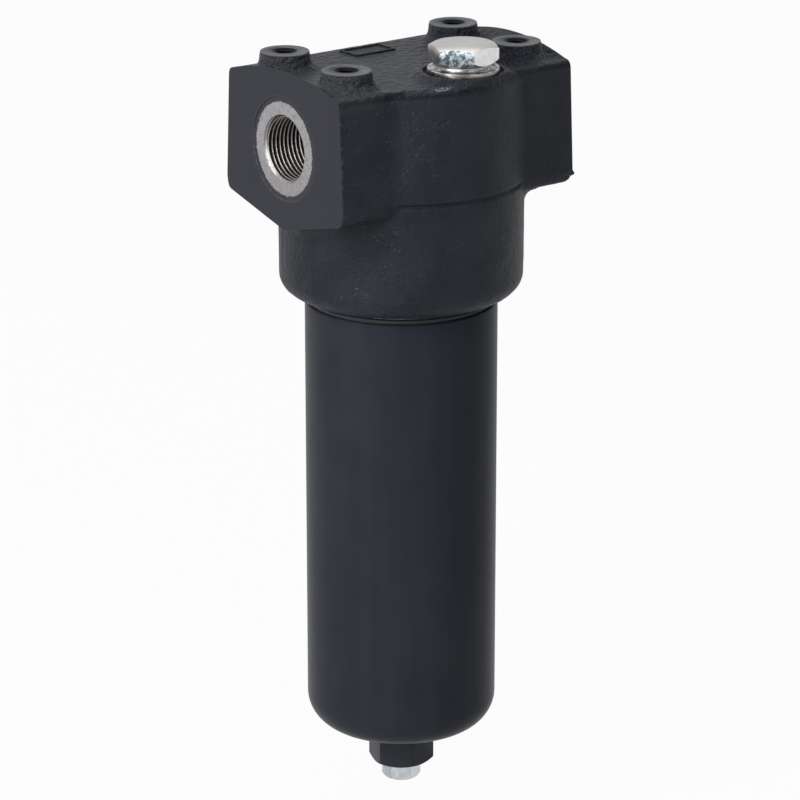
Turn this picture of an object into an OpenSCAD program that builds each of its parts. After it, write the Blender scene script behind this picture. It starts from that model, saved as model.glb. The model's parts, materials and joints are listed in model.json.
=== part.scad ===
// High pressure filter for a hydraulic line: a cast iron head with a port at
// each end, a steel bowl screwed into it from below, a pleated element pushed
// onto a spigot, a bypass valve beside the spigot, and two sealed screw plugs.
// The origin is the middle of the four mounting holes, on the plane of their
// boss tops. +Z is up, +X runs from the inlet to the outlet, and -Y is the
// side of the indicator port. Every depth is measured down from the boss tops.

/* [Head casting] */
// Distance from the bowl axis to the inlet's port face
inlet_reach = 70; // [69.6:0.2:75]
// Distance from the bowl axis to the outlet's port face
outlet_reach = 69; // [68.6:0.2:75]
// Width of the wings at their flat top
wing_top_w = 89.2; // [87:0.4:92]
// Width of the wings at the parting plane
wing_part_w = 94.8; // [93.2:0.4:98]
// Width of the wings where their sides end and the underside begins
wing_low_w = 92.4; // [90:0.4:94]
// Height of the mounting bosses above the flat top
boss_h = 8.5; // [7.5:0.5:10]
// Depth of the parting plane
parting_depth = 63.6; // [61:0.2:65]
// Depth at which the sides of the wings end
wing_low_depth = 69; // [68:0.5:71]
// Depth of the keel under the wings
keel_depth = 80.6; // [78:0.2:84]
// Rise of the arched pad at each port face
arch_rise = 6.2; // [5:0.2:7]
// Length over which an arched pad runs down to the flat top
arch_run = 13; // [11:0.5:15]
// Diameter of the front bulge at the parting plane
bulge_part_d = 121.4; // [120.8:0.2:124]
// Diameter of the front bulge at the top
bulge_top_d = 118; // [116:0.5:119]
// Radius of the top edge of the front bulge
bulge_edge_r = 5; // [3:0.5:6]
// Radius of the hollow between the bulge and the inlet wing
inlet_blend_r = 13; // [10:1:15]
// Radius of the hollow between the bulge and the outlet wing
outlet_blend_r = 7; // [5:1:9]
// Diameter of the collar around the bowl
collar_d = 120.6; // [118:0.2:121]
// Depth of the collar's lower rim
rim_depth = 122.1; // [121:0.1:123]
// Radius of the collar's lower edge
collar_edge_r = 10.3; // [8:0.1:11]
// Radius of the hollow between the wings and the collar
underside_blend_r = 7; // [5:0.5:8]

/* [Ports] */
// Depth of the port axis
port_depth = 40.5; // [39:0.5:42]
// Core diameter of the port thread
port_core_d = 30.3; // [28:0.1:31]
// Diameter of the port's mouth
port_mouth_d = 33.3; // [33:0.1:35]
// Length of the port thread
port_thread_l = 22; // [18:1:24]
// Diameter of the flat seat around a port
port_seat_d = 50; // [46:1:54]
// Depth of the flat seat around a port
port_seat_depth = 0.4; // [0.2:0.1:0.8]
// Diameter of the inlet passage
inlet_bore_d = 25; // [22:0.5:26]
// Diameter of the outlet passage
outlet_bore_d = 28; // [26:0.5:29]

/* [Mounting bosses] */
// Spacing of the mounting holes along the head
mount_pitch_x = 102; // [100:0.5:103]
// Spacing of the mounting holes across the head
mount_pitch_y = 50; // [48:0.5:52]
// Tapping diameter of the mounting holes
mount_hole_d = 8.5; // [6.8:0.1:9]
// Depth of the mounting holes
mount_hole_l = 20; // [16:1:22]
// Width and depth of the broken edge at the mouth of a mounting hole
mount_sink_l = 0.45; // [0.25:0.05:0.5]
// Diameter of a boss at its top
boss_d = 24; // [22:0.2:25]
// Radius of the flare at the foot of a boss
boss_flare_r = 5.5; // [4:0.5:6]

/* [Indicator port] */
// Place of the indicator port along the head
indicator_x = 9; // [7:0.5:11]
// Place of the indicator port in front of the bowl axis
indicator_y = 37.2; // [36:0.2:38]
// Height of the indicator boss above the flat top
indicator_rim_h = 2.6; // [2:0.1:3.4]
// Diameter of the counterbore
indicator_sink_d = 38.6; // [37.2:0.2:40]
// Depth of the counterbore below the boss rim
indicator_sink_l = 2.6; // [2:0.1:3.4]
// Diameter of the indicator thread
indicator_thread_d = 20.9; // [20:0.1:22]
// Diameter of the plug's nose
indicator_nose_d = 15.8; // [14:0.1:16.5]

/* [Indicator plug] */
// Width across the flats of the plug's hexagon
plug_af = 30; // [27:0.5:32]
// Height of the plug's hexagon
plug_hex_h = 9.1; // [8:0.1:11]
// Diameter of the plug's collar
plug_collar_d = 34.8; // [34:0.1:36.8]
// Thickness of the plug's collar
plug_collar_h = 4; // [3.4:0.1:5]
// Height of the hollow neck between the plug's collar and its hexagon
plug_neck_h = 2.1; // [1.6:0.1:3]
// Turn of the plug's hexagon
plug_turn = 10; // [0:1:59]

/* [Bowl] */
// Outer diameter of the bowl
bowl_d = 95; // [94:0.5:97]
// Inner diameter of the bowl
bowl_bore_d = 76; // [75:0.5:78]
// Length from the collar's rim to the bowl's flat bottom
bowl_l = 228.4; // [225:0.2:320]
// Thickness of the bowl's bottom
bowl_floor = 12; // [10:0.5:14]
// Outer radius at the bowl's bottom edge
bowl_edge_r = 16.5; // [12:0.5:18]
// Inner radius at the bowl's bottom
bowl_inner_r = 9; // [6:0.5:10]
// Major diameter of the bowl thread
thread_d = 90; // [89:0.5:91]
// Length of the bowl thread
thread_l = 21; // [18:0.5:22]
// Pitch of the bowl thread
thread_pitch = 2; // [1.5:0.5:3]
// Diameter of the sealing land on the bowl's neck
seal_land_d = 86; // [85:0.2:86.4]
// Length of the sealing land
seal_land_l = 16; // [14:0.5:18]
// Depth of the seal groove
seal_groove_depth = 2.6; // [2.2:0.1:2.7]
// Width of the seal groove
seal_groove_w = 5; // [4.6:0.1:6]
// Width across the flats of the bowl's hexagon
nub_af = 29; // [26:0.5:32]
// Length of the bowl's hexagon
nub_l = 22; // [20:0.5:26]
// Turn of the bowl's hexagon
nub_turn = 13; // [0:1:59]

/* [Drain plug] */
// Width across the flats of the drain plug
drain_af = 17; // [16:0.5:19]
// Height of the drain plug's hexagon
drain_hex_h = 9.5; // [7:0.5:11]
// Diameter of the drain thread
drain_thread_d = 13.1; // [12:0.1:14]
// Length of the drain plug's shank
drain_shank_l = 12; // [10:0.5:15]
// Diameter of the drain passage
drain_bore_d = 6; // [5:0.5:8]
// Turn of the drain plug's hexagon
drain_turn = 23; // [0:1:59]

/* [Spigot] */
// Diameter of the chamber above the element
chamber_d = 80; // [79:0.5:81]
// Depth of the chamber's ceiling
ceiling_depth = 66; // [65:0.5:67]
// Thickness of the web that carries the spigot and the bypass valve
web_t = 9; // [8:0.5:9.5]
// Diameter of the spigot's thread
spigot_thread_d = 27; // [25:0.5:28]
// Diameter of the spigot's nose
spigot_nose_d = 29.8; // [28:0.2:30]
// Bore through the spigot
spigot_bore_d = 21; // [18:0.5:22]
// Length of the spigot's nose below its flange
spigot_nose_l = 28; // [26:0.5:34]
// Diameter of the spigot's flange
spigot_flange_d = 32.6; // [32:0.2:33]
// Thickness of the spigot's flange
spigot_flange_t = 4; // [3:0.5:5]

/* [Bypass valve] */
// Distance of the bypass valve from the bowl axis
bypass_x = 28; // [27.8:0.1:28.2]
// Diameter of the valve body
bypass_body_d = 20; // [19:0.2:20.4]
// Width across the flats of the valve body
bypass_af = 22; // [21:0.2:22]
// Bore in which the poppet slides
bypass_guide_d = 15; // [14.4:0.1:15.4]
// Diameter of the valve seat
bypass_seat_d = 11; // [10:0.2:11.4]
// Travel of the poppet
bypass_travel = 5; // [4:0.5:5.5]
// Length of the spring when the valve is shut
spring_l = 20; // [19:0.5:21]
// Wire diameter of the spring
spring_wire_d = 1.4; // [1.2:0.1:1.6]
// Turns of the spring
spring_turns = 7; // [6:1:8]

/* [Filter element] */
// Outer diameter of the end caps
element_d = 68; // [66:0.5:70]
// Gap between the element and the bowl's floor
element_gap = 10; // [8:0.5:14]
// Sheet thickness of the end caps
cap_t = 1.2; // [1:0.1:1.5]
// Depth of the end caps over the pleats
cap_skirt = 9; // [7:0.5:12]
// Outer diameter of the pleats
pleat_outer_d = 62; // [60:0.5:63]
// Inner diameter of the pleats
pleat_inner_d = 40; // [39.5:0.5:41]
// Number of pleats
pleat_count = 48; // [36:4:52]
// Thickness of the pleated sheet
pleat_t = 0.5; // [0.4:0.1:0.6]
// Outer diameter of the core tube
core_d = 38; // [36:0.5:38]
// Wall thickness of the core tube
core_t = 1; // [0.8:0.1:1.5]
// Wall thickness of the outer guard
guard_t = 0.8; // [0.6:0.1:1]
// Rows of holes in the core tube and the guard
hole_rows = 12; // [8:1:14]
// Diameter of the holes in the guard
guard_hole_d = 9; // [6:0.5:10]
// Diameter of the holes in the core tube
core_hole_d = 6; // [4:0.5:7]

/* [Clearances] */
// Radial clearance of a screwed or sliding fit
fit_gap = 0.05; // [0.03:0.01:0.08]
// Clearance of a seal in its groove
seal_gap = 0.05; // [0.03:0.01:0.08]
// Depth to which blended shapes sink into each other
sink = 0.15; // [0.1:0.05:0.2]

/* [Hidden] */
$fn = 96;
big = 200;
over = 1;

z_top = -boss_h;
z_port = -port_depth;
z_part = -parting_depth;
z_low = -wing_low_depth;
z_keel = -keel_depth;
z_rim = -rim_depth;
z_ceiling = -ceiling_depth;
z_web = z_ceiling + web_t;
head_length = inlet_reach + outlet_reach;
collar_r = collar_d / 2;
keel_r = 18;
wing_edge_r = 3.5;
part_edge_r = 1;
collar_fill_top = 18;
collar_fill_low = 12;
collar_fill_drop = 6;
indicator_root = 8;
indicator_back = 20;

// Outlet chamber above the web, wide enough for the bypass valve to stand in
core_r = 15;
bypass_room_r = 17;
room_top = 15.5;
inlet_bend_r = 16;
inlet_drop_x = 33;

// Bowl neck, from the rim upwards
thread_lead = 2.1;
z_thread_low = z_rim + thread_lead;
z_thread_top = z_thread_low + thread_l;
thread_relief = 1.5 * thread_pitch;
z_seal_low = z_thread_top + thread_relief;
z_neck_top = z_seal_low + seal_land_l;
neck_gap = 2;
z_step = z_neck_top + neck_gap;
groove_offset = 4;
z_groove_top = z_neck_top - groove_offset;
z_groove_low = z_groove_top - seal_groove_w;
neck_relief_r = thread_d / 2 - 0.65 * thread_pitch;
land_r = 46.5;
land_drop = 2.5;
land_h = 1.4;
slit_h = 0.5;
slit_depth = 0.7;
z_land = z_rim - land_drop;
z_slit = z_land - land_h;
z_shoulder = z_slit - slit_h;
z_bowl = z_rim - bowl_l;
z_floor = z_bowl + bowl_floor;
z_nub = z_bowl - nub_l;
drain_recess_h = 1.5;
drain_recess_r = 9.3;

// Indicator port
z_rim_plug = z_top + indicator_rim_h;
z_sink = z_rim_plug - indicator_sink_l;
indicator_thread_l = 15.5;
z_nose_step = z_sink - indicator_thread_l;
indicator_nose_l = 13;
z_nose_end = z_nose_step - indicator_nose_l;
plug_shank_l = indicator_thread_l - 2;
plug_nose_l = indicator_nose_l + 1;
nose_groove_drop = 5;
nose_groove_w = 2.4;
nose_groove_depth = 1.6;

// Spigot and element
z_flange = z_ceiling - spigot_flange_t;
z_nose = z_flange - spigot_nose_l;
z_cap_neck = z_flange - 6;
neck_drop = 12;
z_cap = z_cap_neck - neck_drop;
cap_neck_r = 20;
z_media_top = z_cap - cap_t;
z_cap_low = z_floor + element_gap;
z_media_low = z_cap_low + cap_t;
element_neck_l = 20;
element_groove_w = 3;
element_groove_depth = 2.3;

// Bypass valve
bypass_hex_h = 6;
bypass_turn = 30;
bypass_seat_rise = 8;
z_seat = z_ceiling + bypass_seat_rise;
seat_bevel = (bypass_guide_d - bypass_seat_d) / 2;
z_guide = z_seat + seat_bevel;
poppet_skirt_h = 9;
poppet_floor = 2;
poppet_gap = 0.07;
z_spring = z_guide + poppet_floor;
z_spring_cap = z_spring + spring_l;
spring_cap_t = 2.5;
spring_r = bypass_guide_d / 2 - 2.2;
window_r = bypass_travel / 2;
z_window = z_guide + window_r;

// Seal grooves of the pieces screwed into the web
web_groove_rise = 4;
web_groove_w = 2.4;
web_groove_depth = 1.7;

// Points along an arc, seen with the angles running anticlockwise
function arc(cx, cy, r, a0, a1, n = 8) =
    [for (i = [0:n]) let (a = a0 + (a1 - a0) * i / n) [cx + r * cos(a), cy + r * sin(a)]];

// Corner b of the path a-b-c, rounded with the radius r
function corner(a, b, c, r, n = 6) =
    let (
        u = (a - b) / norm(a - b),
        v = (c - b) / norm(c - b),
        half = acos(u * v) / 2,
        mid = (u + v) / norm(u + v),
        centre = b + mid * r / sin(half),
        first = b + u * r / tan(half),
        last = b + v * r / tan(half),
        s = atan2(first[1] - centre[1], first[0] - centre[0]),
        e = atan2(last[1] - centre[1], last[0] - centre[0]),
        turn = (e - s) > 180 ? e - s - 360 : (e - s) < -180 ? e - s + 360 : e - s)
    arc(centre[0], centre[1], r, s, s + turn, n);

// Outline with each corner rounded by its own radius, given as [x, y, radius]
function rounded(p, n = 6) =
    [for (i = [0:len(p) - 1])
        let (
            k = len(p),
            a = [p[(i + k - 1) % k][0], p[(i + k - 1) % k][1]],
            b = [p[i][0], p[i][1]],
            c = [p[(i + 1) % k][0], p[(i + 1) % k][1]])
        each p[i][2] > 0 ? corner(a, b, c, p[i][2], n) : [b]];

module ring(r_in, r_out, z_low, z_high) {
    translate([0, 0, z_low]) difference() {
        cylinder(r = r_out, h = z_high - z_low);
        translate([0, 0, -over]) cylinder(r = r_in, h = z_high - z_low + 2 * over);
    }
}

// Seal ring with the rounded section that it takes when squeezed
module squeezed_ring(r_in, r_out, z_low, z_high) {
    w = r_out - r_in;
    h = z_high - z_low;
    soft = min(w, h) * 0.45;
    rotate_extrude() polygon(rounded([
        [r_in, z_low, soft], [r_out, z_low, soft],
        [r_out, z_high, soft], [r_in, z_high, soft]], 4));
}

// Hexagonal prism standing on z, each end turned down to a bevel of so many degrees
module hexagon(af, z, h, turn, bevel_low, bevel_high) {
    across = af / cos(30);
    r = af / 2;
    rim = across / 2 - r + 0.3;
    intersection() {
        translate([0, 0, z]) rotate([0, 0, turn]) cylinder(d = across, h = h, $fn = 6);
        rotate_extrude() polygon([
            [0, z - (bevel_low ? 0 : over)],
            [bevel_low ? r - 0.4 : r + rim, z - (bevel_low ? 0 : over)],
            [r + rim, z + (bevel_low ? (rim + 0.4) * tan(bevel_low) : 0)],
            [r + rim, z + h - (bevel_high ? (rim + 0.4) * tan(bevel_high) : 0)],
            [bevel_high ? r - 0.4 : r + rim, z + h + (bevel_high ? 0 : over)],
            [0, z + h + (bevel_high ? 0 : over)]]);
    }
}

// Wings: one long section from port face to port face
module wing_section() {
    polygon(rounded([
        [0, z_keel, keel_r],
        [wing_low_w / 2, z_low, wing_edge_r],
        [wing_part_w / 2, z_part, part_edge_r],
        [wing_top_w / 2, z_top, wing_edge_r],
        [-wing_top_w / 2, z_top, wing_edge_r],
        [-wing_part_w / 2, z_part, part_edge_r],
        [-wing_low_w / 2, z_low, wing_edge_r]]));
}

module wings() {
    difference() {
        translate([-inlet_reach, 0, 0]) rotate([90, 0, 90])
            linear_extrude(head_length) wing_section();
        underside_end_rounds();
    }
}

// Rounds the lower edge of the outlet end, along both slopes of the underside
module underside_end_rounds() {
    r = 4.5;
    slope = atan((z_low - z_keel) / (wing_low_w / 2));
    for (side = [-1, 1])
        translate([outlet_reach - r, 0, z_keel])
            rotate([side * slope, 0, 0])
                translate([0, 0, r])
                    rotate([90, 0, 0])
                        difference() {
                            translate([0, -r - over, -big / 2])
                                cube([r + over, r + over, big]);
                            translate([0, 0, -big / 2 - over])
                                cylinder(r = r, h = big + 2 * over);
                        }
}

// Arched pad that rises from the flat top to a port face
module arched_pad(reach) {
    half_w = wing_top_w / 2 - 3.2;
    tilt = atan(arch_rise / arch_run);
    r = half_w * half_w / (2 * arch_rise * cos(tilt));
    intersection() {
        translate([reach - 2 * arch_run, -half_w, z_top - over])
            cube([2 * arch_run, 2 * half_w, arch_rise + 2 * over]);
        translate([reach, 0, z_top + arch_rise])
            rotate([0, 90 - tilt, 0])
                translate([r, 0, -big / 2])
                    cylinder(r = r, h = big, $fn = 360);
    }
}

// Front bulge: the collar carried up to the flat top on the indicator's side
module bulge() {
    r_part = bulge_part_d / 2;
    r_top = bulge_top_d / 2;
    intersection() {
        rotate_extrude() polygon(concat(
            [[0, z_part], [r_part, z_part]],
            corner([r_part, z_part], [r_top, z_top], [0, z_top], bulge_edge_r, 8),
            [[0, z_top]]));
        translate([-inlet_reach, -big / 2, z_part - over])
            cube([head_length, big / 2, big]);
    }
}

// Hollow between the bulge and a wing, leaning with the draft of both
module bulge_blend(r) {
    y_top = wing_top_w / 2;
    y_part = wing_part_w / 2;
    r_top = bulge_top_d / 2;
    h = z_top - z_part;
    x = sqrt((r_top + r) * (r_top + r) - (y_top + r) * (y_top + r));
    lean = atan((y_part - y_top) / h);
    reach = r_top / (r_top + r);
    difference() {
        translate([0, 0, z_part]) linear_extrude(h)
            polygon([
                [x, -y_top + 3],
                [x, -y_top - r * 0.55],
                [x * reach + 1, -(y_top + r) * reach - 1],
                [x * reach - 6, -(y_top + r) * reach + 6]]);
        translate([x - sink, -y_top - r + sink, z_top])
            rotate([-lean, 0, 0])
                translate([0, 0, -big / 2]) cylinder(r = r, h = big);
    }
}

module collar() {
    rim_r = collar_r - 0.3;
    rotate_extrude() polygon(concat(
        [[0, z_top - collar_fill_drop], [collar_r - collar_fill_top, z_top - collar_fill_drop],
         [collar_r - collar_fill_low, z_part + collar_fill_drop], [collar_r, z_part - 2]],
        corner([collar_r, z_part], [rim_r, z_rim], [0, z_rim], collar_edge_r, 10),
        [[0, z_rim]]));
}

// Height of the wings' underside at the distance y from the keel
function underside(y) = z_keel + abs(y) * (z_low - z_keel) / (wing_low_w / 2);

// Hollow between the underside of a wing and the collar, swept round the collar
// and running out to nothing at the sides of the wing
module underside_blend() {
    steps = 24;
    n = 6;
    inset = 1.2;
    spread = asin((wing_low_w / 2 - inset) / collar_r);
    stations = [for (i = [0:steps])
        let (
            a = -spread + 2 * spread * i / steps,
            r = underside_blend_r * sqrt(1.02 - pow(a / spread, 6)),
            x = collar_r + r - sink,
            z = underside(collar_r * sin(a)) - r)
        concat(
            [[a, collar_r - 3, z + r + 3], [a, collar_r - 3, z]],
            [for (k = [0:n]) let (t = 180 - 90 * k / n)
                [a, x + r * cos(t), z + sink + r * sin(t)]],
            [[a, x, z + r + 3]])];
    m = len(stations[0]);
    points = [for (s = stations) for (p = s) [p[1] * cos(p[0]), p[1] * sin(p[0]), p[2]]];
    sides = [for (i = [0:steps - 1]) for (k = [0:m - 1])
        let (
            a = i * m + k,
            b = i * m + (k + 1) % m,
            c = a + m,
            d = b + m)
        each [[a, c, b], [b, c, d]]];
    caps = [[for (k = [0:m - 1]) k], [for (k = [m - 1:-1:0]) steps * m + k]];
    polyhedron(points, concat(sides, caps), convexity = 4);
}

// Mounting boss with a flared foot
module boss() {
    r = boss_d / 2;
    foot = r + 0.4;
    rotate_extrude() polygon(concat(
        [[0, z_top - 4], [foot + boss_flare_r, z_top - 4]],
        arc(foot + boss_flare_r, z_top + boss_flare_r - sink, boss_flare_r, 270, 180),
        [[r, -0.5], [r - 0.4, 0], [0, 0]]));
}

module bosses() {
    for (x = [-1, 1])
        for (y = [-1, 1])
            translate([x * mount_pitch_x / 2, y * mount_pitch_y / 2, 0]) boss();
}

// Raised rim of the indicator port, kept inside the bulge
module indicator_boss() {
    lip = 1.8;
    r = indicator_sink_d / 2 + lip;
    flare = 4.4;
    intersection() {
        translate([indicator_x, -indicator_y, 0])
            rotate_extrude() polygon(concat(
                [[0, z_top - indicator_root], [r + flare, z_top - indicator_root],
                 [r + flare, z_top - 0.3]],
                corner([r + flare, z_top - 0.3], [r + 0.6, z_rim_plug], [0, z_rim_plug], 1.5, 5),
                [[0, z_rim_plug]]));
        union() {
            translate([0, 0, z_part]) cylinder(r = bulge_top_d / 2 - 0.6, h = big);
            translate([-inlet_reach, 0, z_part]) cube([head_length, indicator_back, big]);
        }
    }
}

// Passages and bores of the head
module port_bore(length) {
    mouth = (port_mouth_d - port_core_d) / 2;
    rotate([0, 90, 0]) {
        translate([0, 0, -port_seat_depth]) cylinder(d = port_seat_d, h = port_seat_depth + over);
        translate([0, 0, -length]) cylinder(d = port_core_d, h = length + over);
        translate([0, 0, -port_seat_depth - mouth])
            cylinder(d1 = port_core_d, d2 = port_mouth_d, h = mouth);
    }
}

module inlet_passage() {
    bend_x = inlet_drop_x + inlet_bend_r;
    translate([-inlet_reach, 0, z_port]) rotate([0, 0, 180]) port_bore(port_thread_l);
    translate([-inlet_reach + 5, 0, z_port]) rotate([0, 90, 0])
        cylinder(d = inlet_bore_d, h = inlet_reach - 5 - bend_x);
    translate([-bend_x, 0, z_port - inlet_bend_r])
        rotate([90, 0, 0])
            rotate_extrude(angle = 90)
                translate([inlet_bend_r, 0]) circle(d = inlet_bore_d);
    translate([-inlet_drop_x, 0, z_ceiling - over])
        cylinder(d = inlet_bore_d, h = z_port - inlet_bend_r - z_ceiling + over);
}

module outlet_passage() {
    translate([outlet_reach, 0, z_port]) port_bore(port_thread_l);
    translate([0, 0, z_port]) rotate([0, 90, 0])
        cylinder(d = outlet_bore_d, h = outlet_reach - 5);
    translate([0, 0, z_web]) cylinder(r = core_r, h = z_port + room_top - z_web);
    translate([bypass_x, 0, z_web]) cylinder(r = bypass_room_r, h = z_port + room_top - z_web);
}

module web_bores() {
    translate([0, 0, z_ceiling - over])
        cylinder(r = spigot_thread_d / 2 + fit_gap, h = web_t + 2 * over);
    translate([bypass_x, 0, z_ceiling - over])
        cylinder(r = bypass_body_d / 2 + fit_gap, h = web_t + 2 * over);
}

module bowl_bores() {
    seal_r = seal_land_d / 2 + fit_gap;
    thread_r = thread_d / 2 + fit_gap;
    lead = 1.2;
    rotate_extrude() polygon([
        [0, z_ceiling], [chamber_d / 2, z_ceiling], [chamber_d / 2, z_step],
        [seal_r, z_step], [seal_r, z_seal_low + 1.5],
        [thread_r + 0.9, z_seal_low], [thread_r + 0.9, z_thread_top - 0.6],
        [thread_r, z_thread_top - 1.5], [thread_r, z_rim + lead],
        [thread_r + lead, z_rim], [thread_r + lead, z_rim - over], [0, z_rim - over]]);
}

module mount_holes() {
    mouth_d = mount_hole_d + 2 * mount_sink_l;
    for (x = [-1, 1])
        for (y = [-1, 1])
            translate([x * mount_pitch_x / 2, y * mount_pitch_y / 2, 0]) {
                translate([0, 0, -mount_hole_l]) cylinder(d = mount_hole_d, h = mount_hole_l + over);
                translate([0, 0, -mount_sink_l])
                    cylinder(d1 = mount_hole_d, d2 = mouth_d, h = mount_sink_l);
            }
}

module indicator_bores() {
    seal_channel = 4;
    lead = 1;
    thread_r = indicator_thread_d / 2 + fit_gap;
    translate([indicator_x, -indicator_y, 0]) {
        rotate_extrude() polygon([
            [0, z_nose_end], [indicator_nose_d / 2 + fit_gap, z_nose_end],
            [indicator_nose_d / 2 + fit_gap, z_nose_step - 0.8], [thread_r, z_nose_step],
            [thread_r, z_sink - lead], [thread_r + lead, z_sink],
            [indicator_sink_d / 2, z_sink], [indicator_sink_d / 2, z_rim_plug + over],
            [0, z_rim_plug + over]]);
    }
    // Channel from the dirty side, up from the chamber's ceiling
    reach = norm([indicator_x, indicator_y]);
    at = (chamber_d / 2 - 5) / reach;
    translate([indicator_x * at, -indicator_y * at, z_ceiling - over])
        cylinder(d = seal_channel, h = z_nose_end - z_ceiling + 2 * over);
    // Channel to the clean side, from the thread's end down to the middle room
    start = [indicator_x, -indicator_y, z_nose_step];
    finish = [0, -core_r + 4, z_port];
    span = finish - start;
    translate(start)
        rotate([0, acos(span[2] / norm(span)), atan2(span[1], span[0])])
            cylinder(d = seal_channel, h = norm(span));
}

module head_casting() {
    color([0.17, 0.18, 0.21]) difference() {
        union() {
            wings();
            arched_pad(outlet_reach);
            mirror([1, 0, 0]) arched_pad(inlet_reach);
            bulge();
            bulge_blend(outlet_blend_r);
            mirror([1, 0, 0]) bulge_blend(inlet_blend_r);
            collar();
            underside_blend();
            mirror([1, 0, 0]) underside_blend();
            bosses();
            indicator_boss();
        }
        inlet_passage();
        outlet_passage();
        web_bores();
        bowl_bores();
        mount_holes();
        indicator_bores();
    }
}

// Turned spigot: thread, flange with two flats and a nose for the element
module spigot() {
    flat = spigot_flange_d - 3;
    color([0.72, 0.73, 0.75]) difference() {
        union() {
            translate([0, 0, z_ceiling]) cylinder(d = spigot_thread_d, h = web_t + 2);
            intersection() {
                translate([0, 0, z_flange]) cylinder(d = spigot_flange_d, h = spigot_flange_t);
                translate([-big / 2, -flat / 2, z_flange]) cube([big, flat, spigot_flange_t]);
            }
            rotate_extrude() polygon([
                [0, z_nose], [spigot_nose_d / 2 - 1.5, z_nose],
                [spigot_nose_d / 2, z_nose + 3], [spigot_nose_d / 2, z_flange], [0, z_flange]]);
        }
        translate([0, 0, z_nose - over]) cylinder(d = spigot_bore_d, h = big);
        web_groove(spigot_thread_d / 2);
    }
}

// Groove round a piece screwed into the web, and the seal ring that lies in it
module web_groove(r) {
    z = z_ceiling + web_groove_rise;
    ring(r - web_groove_depth, r + over, z, z + web_groove_w);
}

module web_seal(r) {
    z = z_ceiling + web_groove_rise;
    squeezed_ring(r - web_groove_depth + seal_gap, r, z + seal_gap, z + web_groove_w - seal_gap);
}

module spigot_seal() {
    color([0.08, 0.08, 0.08]) web_seal(spigot_thread_d / 2);
}

module bypass_seal() {
    color([0.08, 0.08, 0.08]) translate([bypass_x, 0, 0]) web_seal(bypass_body_d / 2);
}

// Bypass valve body: screwed into the web, with its seat, guide and windows
module bypass_body() {
    r = bypass_body_d / 2;
    z_end = z_spring_cap + spring_cap_t + 0.5;
    color([0.70, 0.71, 0.72]) translate([bypass_x, 0, 0]) difference() {
        union() {
            translate([0, 0, z_ceiling - over]) cylinder(r = r, h = z_end - z_ceiling + over);
            hexagon(bypass_af, z_ceiling - bypass_hex_h, bypass_hex_h, bypass_turn, 30, 0);
        }
        rotate_extrude() polygon([
            [0, z_ceiling - bypass_hex_h - over],
            [bypass_seat_d / 2, z_ceiling - bypass_hex_h - over],
            [bypass_seat_d / 2, z_seat], [bypass_guide_d / 2, z_guide],
            [bypass_guide_d / 2, z_end + over], [0, z_end + over]]);
        web_groove(r);
        for (a = [45, 135])
            translate([0, 0, z_window]) rotate([90, 0, a])
                translate([0, 0, -big / 4]) cylinder(r = window_r, h = big / 2);
    }
}

// Poppet: a piston with a cone that closes the seat and a pocket for the spring
module bypass_poppet() {
    r = bypass_guide_d / 2 - fit_gap;
    tip = 3.5;
    rise = bypass_seat_d / 2 - poppet_gap - tip;
    pocket_r = spring_r + spring_wire_d / 2 + 0.3;
    color([0.62, 0.60, 0.55]) translate([bypass_x, 0, 0]) rotate_extrude() polygon([
        [0, z_seat - rise], [tip, z_seat - rise],
        [r, z_seat - rise + r - tip], [r, z_guide + poppet_skirt_h],
        [pocket_r, z_guide + poppet_skirt_h], [pocket_r, z_spring], [0, z_spring]]);
}

// Coil spring with flat, closed ends
module bypass_spring() {
    sides = 8;
    per_turn = 20;
    w = spring_wire_d / 2;
    rings = spring_turns * per_turn;
    rise = spring_l - spring_wire_d - 0.1;
    closed_rise = spring_wire_d + 0.15;
    open_rise = (rise - 2 * closed_rise) / (spring_turns - 2);
    // Height reached after a number of turns; the first and the last one are closed
    function climb(turns) =
        closed_rise * min(turns, 1)
        + open_rise * min(max(turns - 1, 0), spring_turns - 2)
        + closed_rise * max(turns - spring_turns + 1, 0);
    points = [for (i = [0:rings])
        let (a = 360 * i / per_turn, z = z_spring + w + 0.05 + climb(i / per_turn))
        for (k = [0:sides - 1])
            let (b = 360 * (k + 0.5) / sides, r = spring_r + w * cos(b))
            [r * cos(a), r * sin(a), z + w * sin(b)]];
    skin = [for (i = [0:rings - 1]) for (k = [0:sides - 1])
        let (
            a = i * sides + k,
            b = i * sides + (k + 1) % sides,
            c = a + sides,
            d = b + sides)
        each [[a, b, c], [b, d, c]]];
    caps = [[for (k = [sides - 1:-1:0]) k], [for (k = [0:sides - 1]) rings * sides + k]];
    color([0.55, 0.56, 0.58]) translate([bypass_x, 0, 0])
        polyhedron(points, concat(skin, caps), convexity = 10);
}

// Perforated cap that holds the spring, screwed into the valve body
module bypass_spring_cap() {
    r = bypass_guide_d / 2 - fit_gap;
    color([0.72, 0.70, 0.62]) translate([bypass_x, 0, z_spring_cap]) difference() {
        cylinder(r = r, h = spring_cap_t);
        translate([0, 0, -over]) cylinder(r = 2, h = spring_cap_t + 2 * over);
        for (a = [0, 90, 180, 270])
            rotate([0, 0, a]) translate([r - 2.4, 0, -over])
                cylinder(r = 1, h = spring_cap_t + 2 * over);
    }
}

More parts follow.
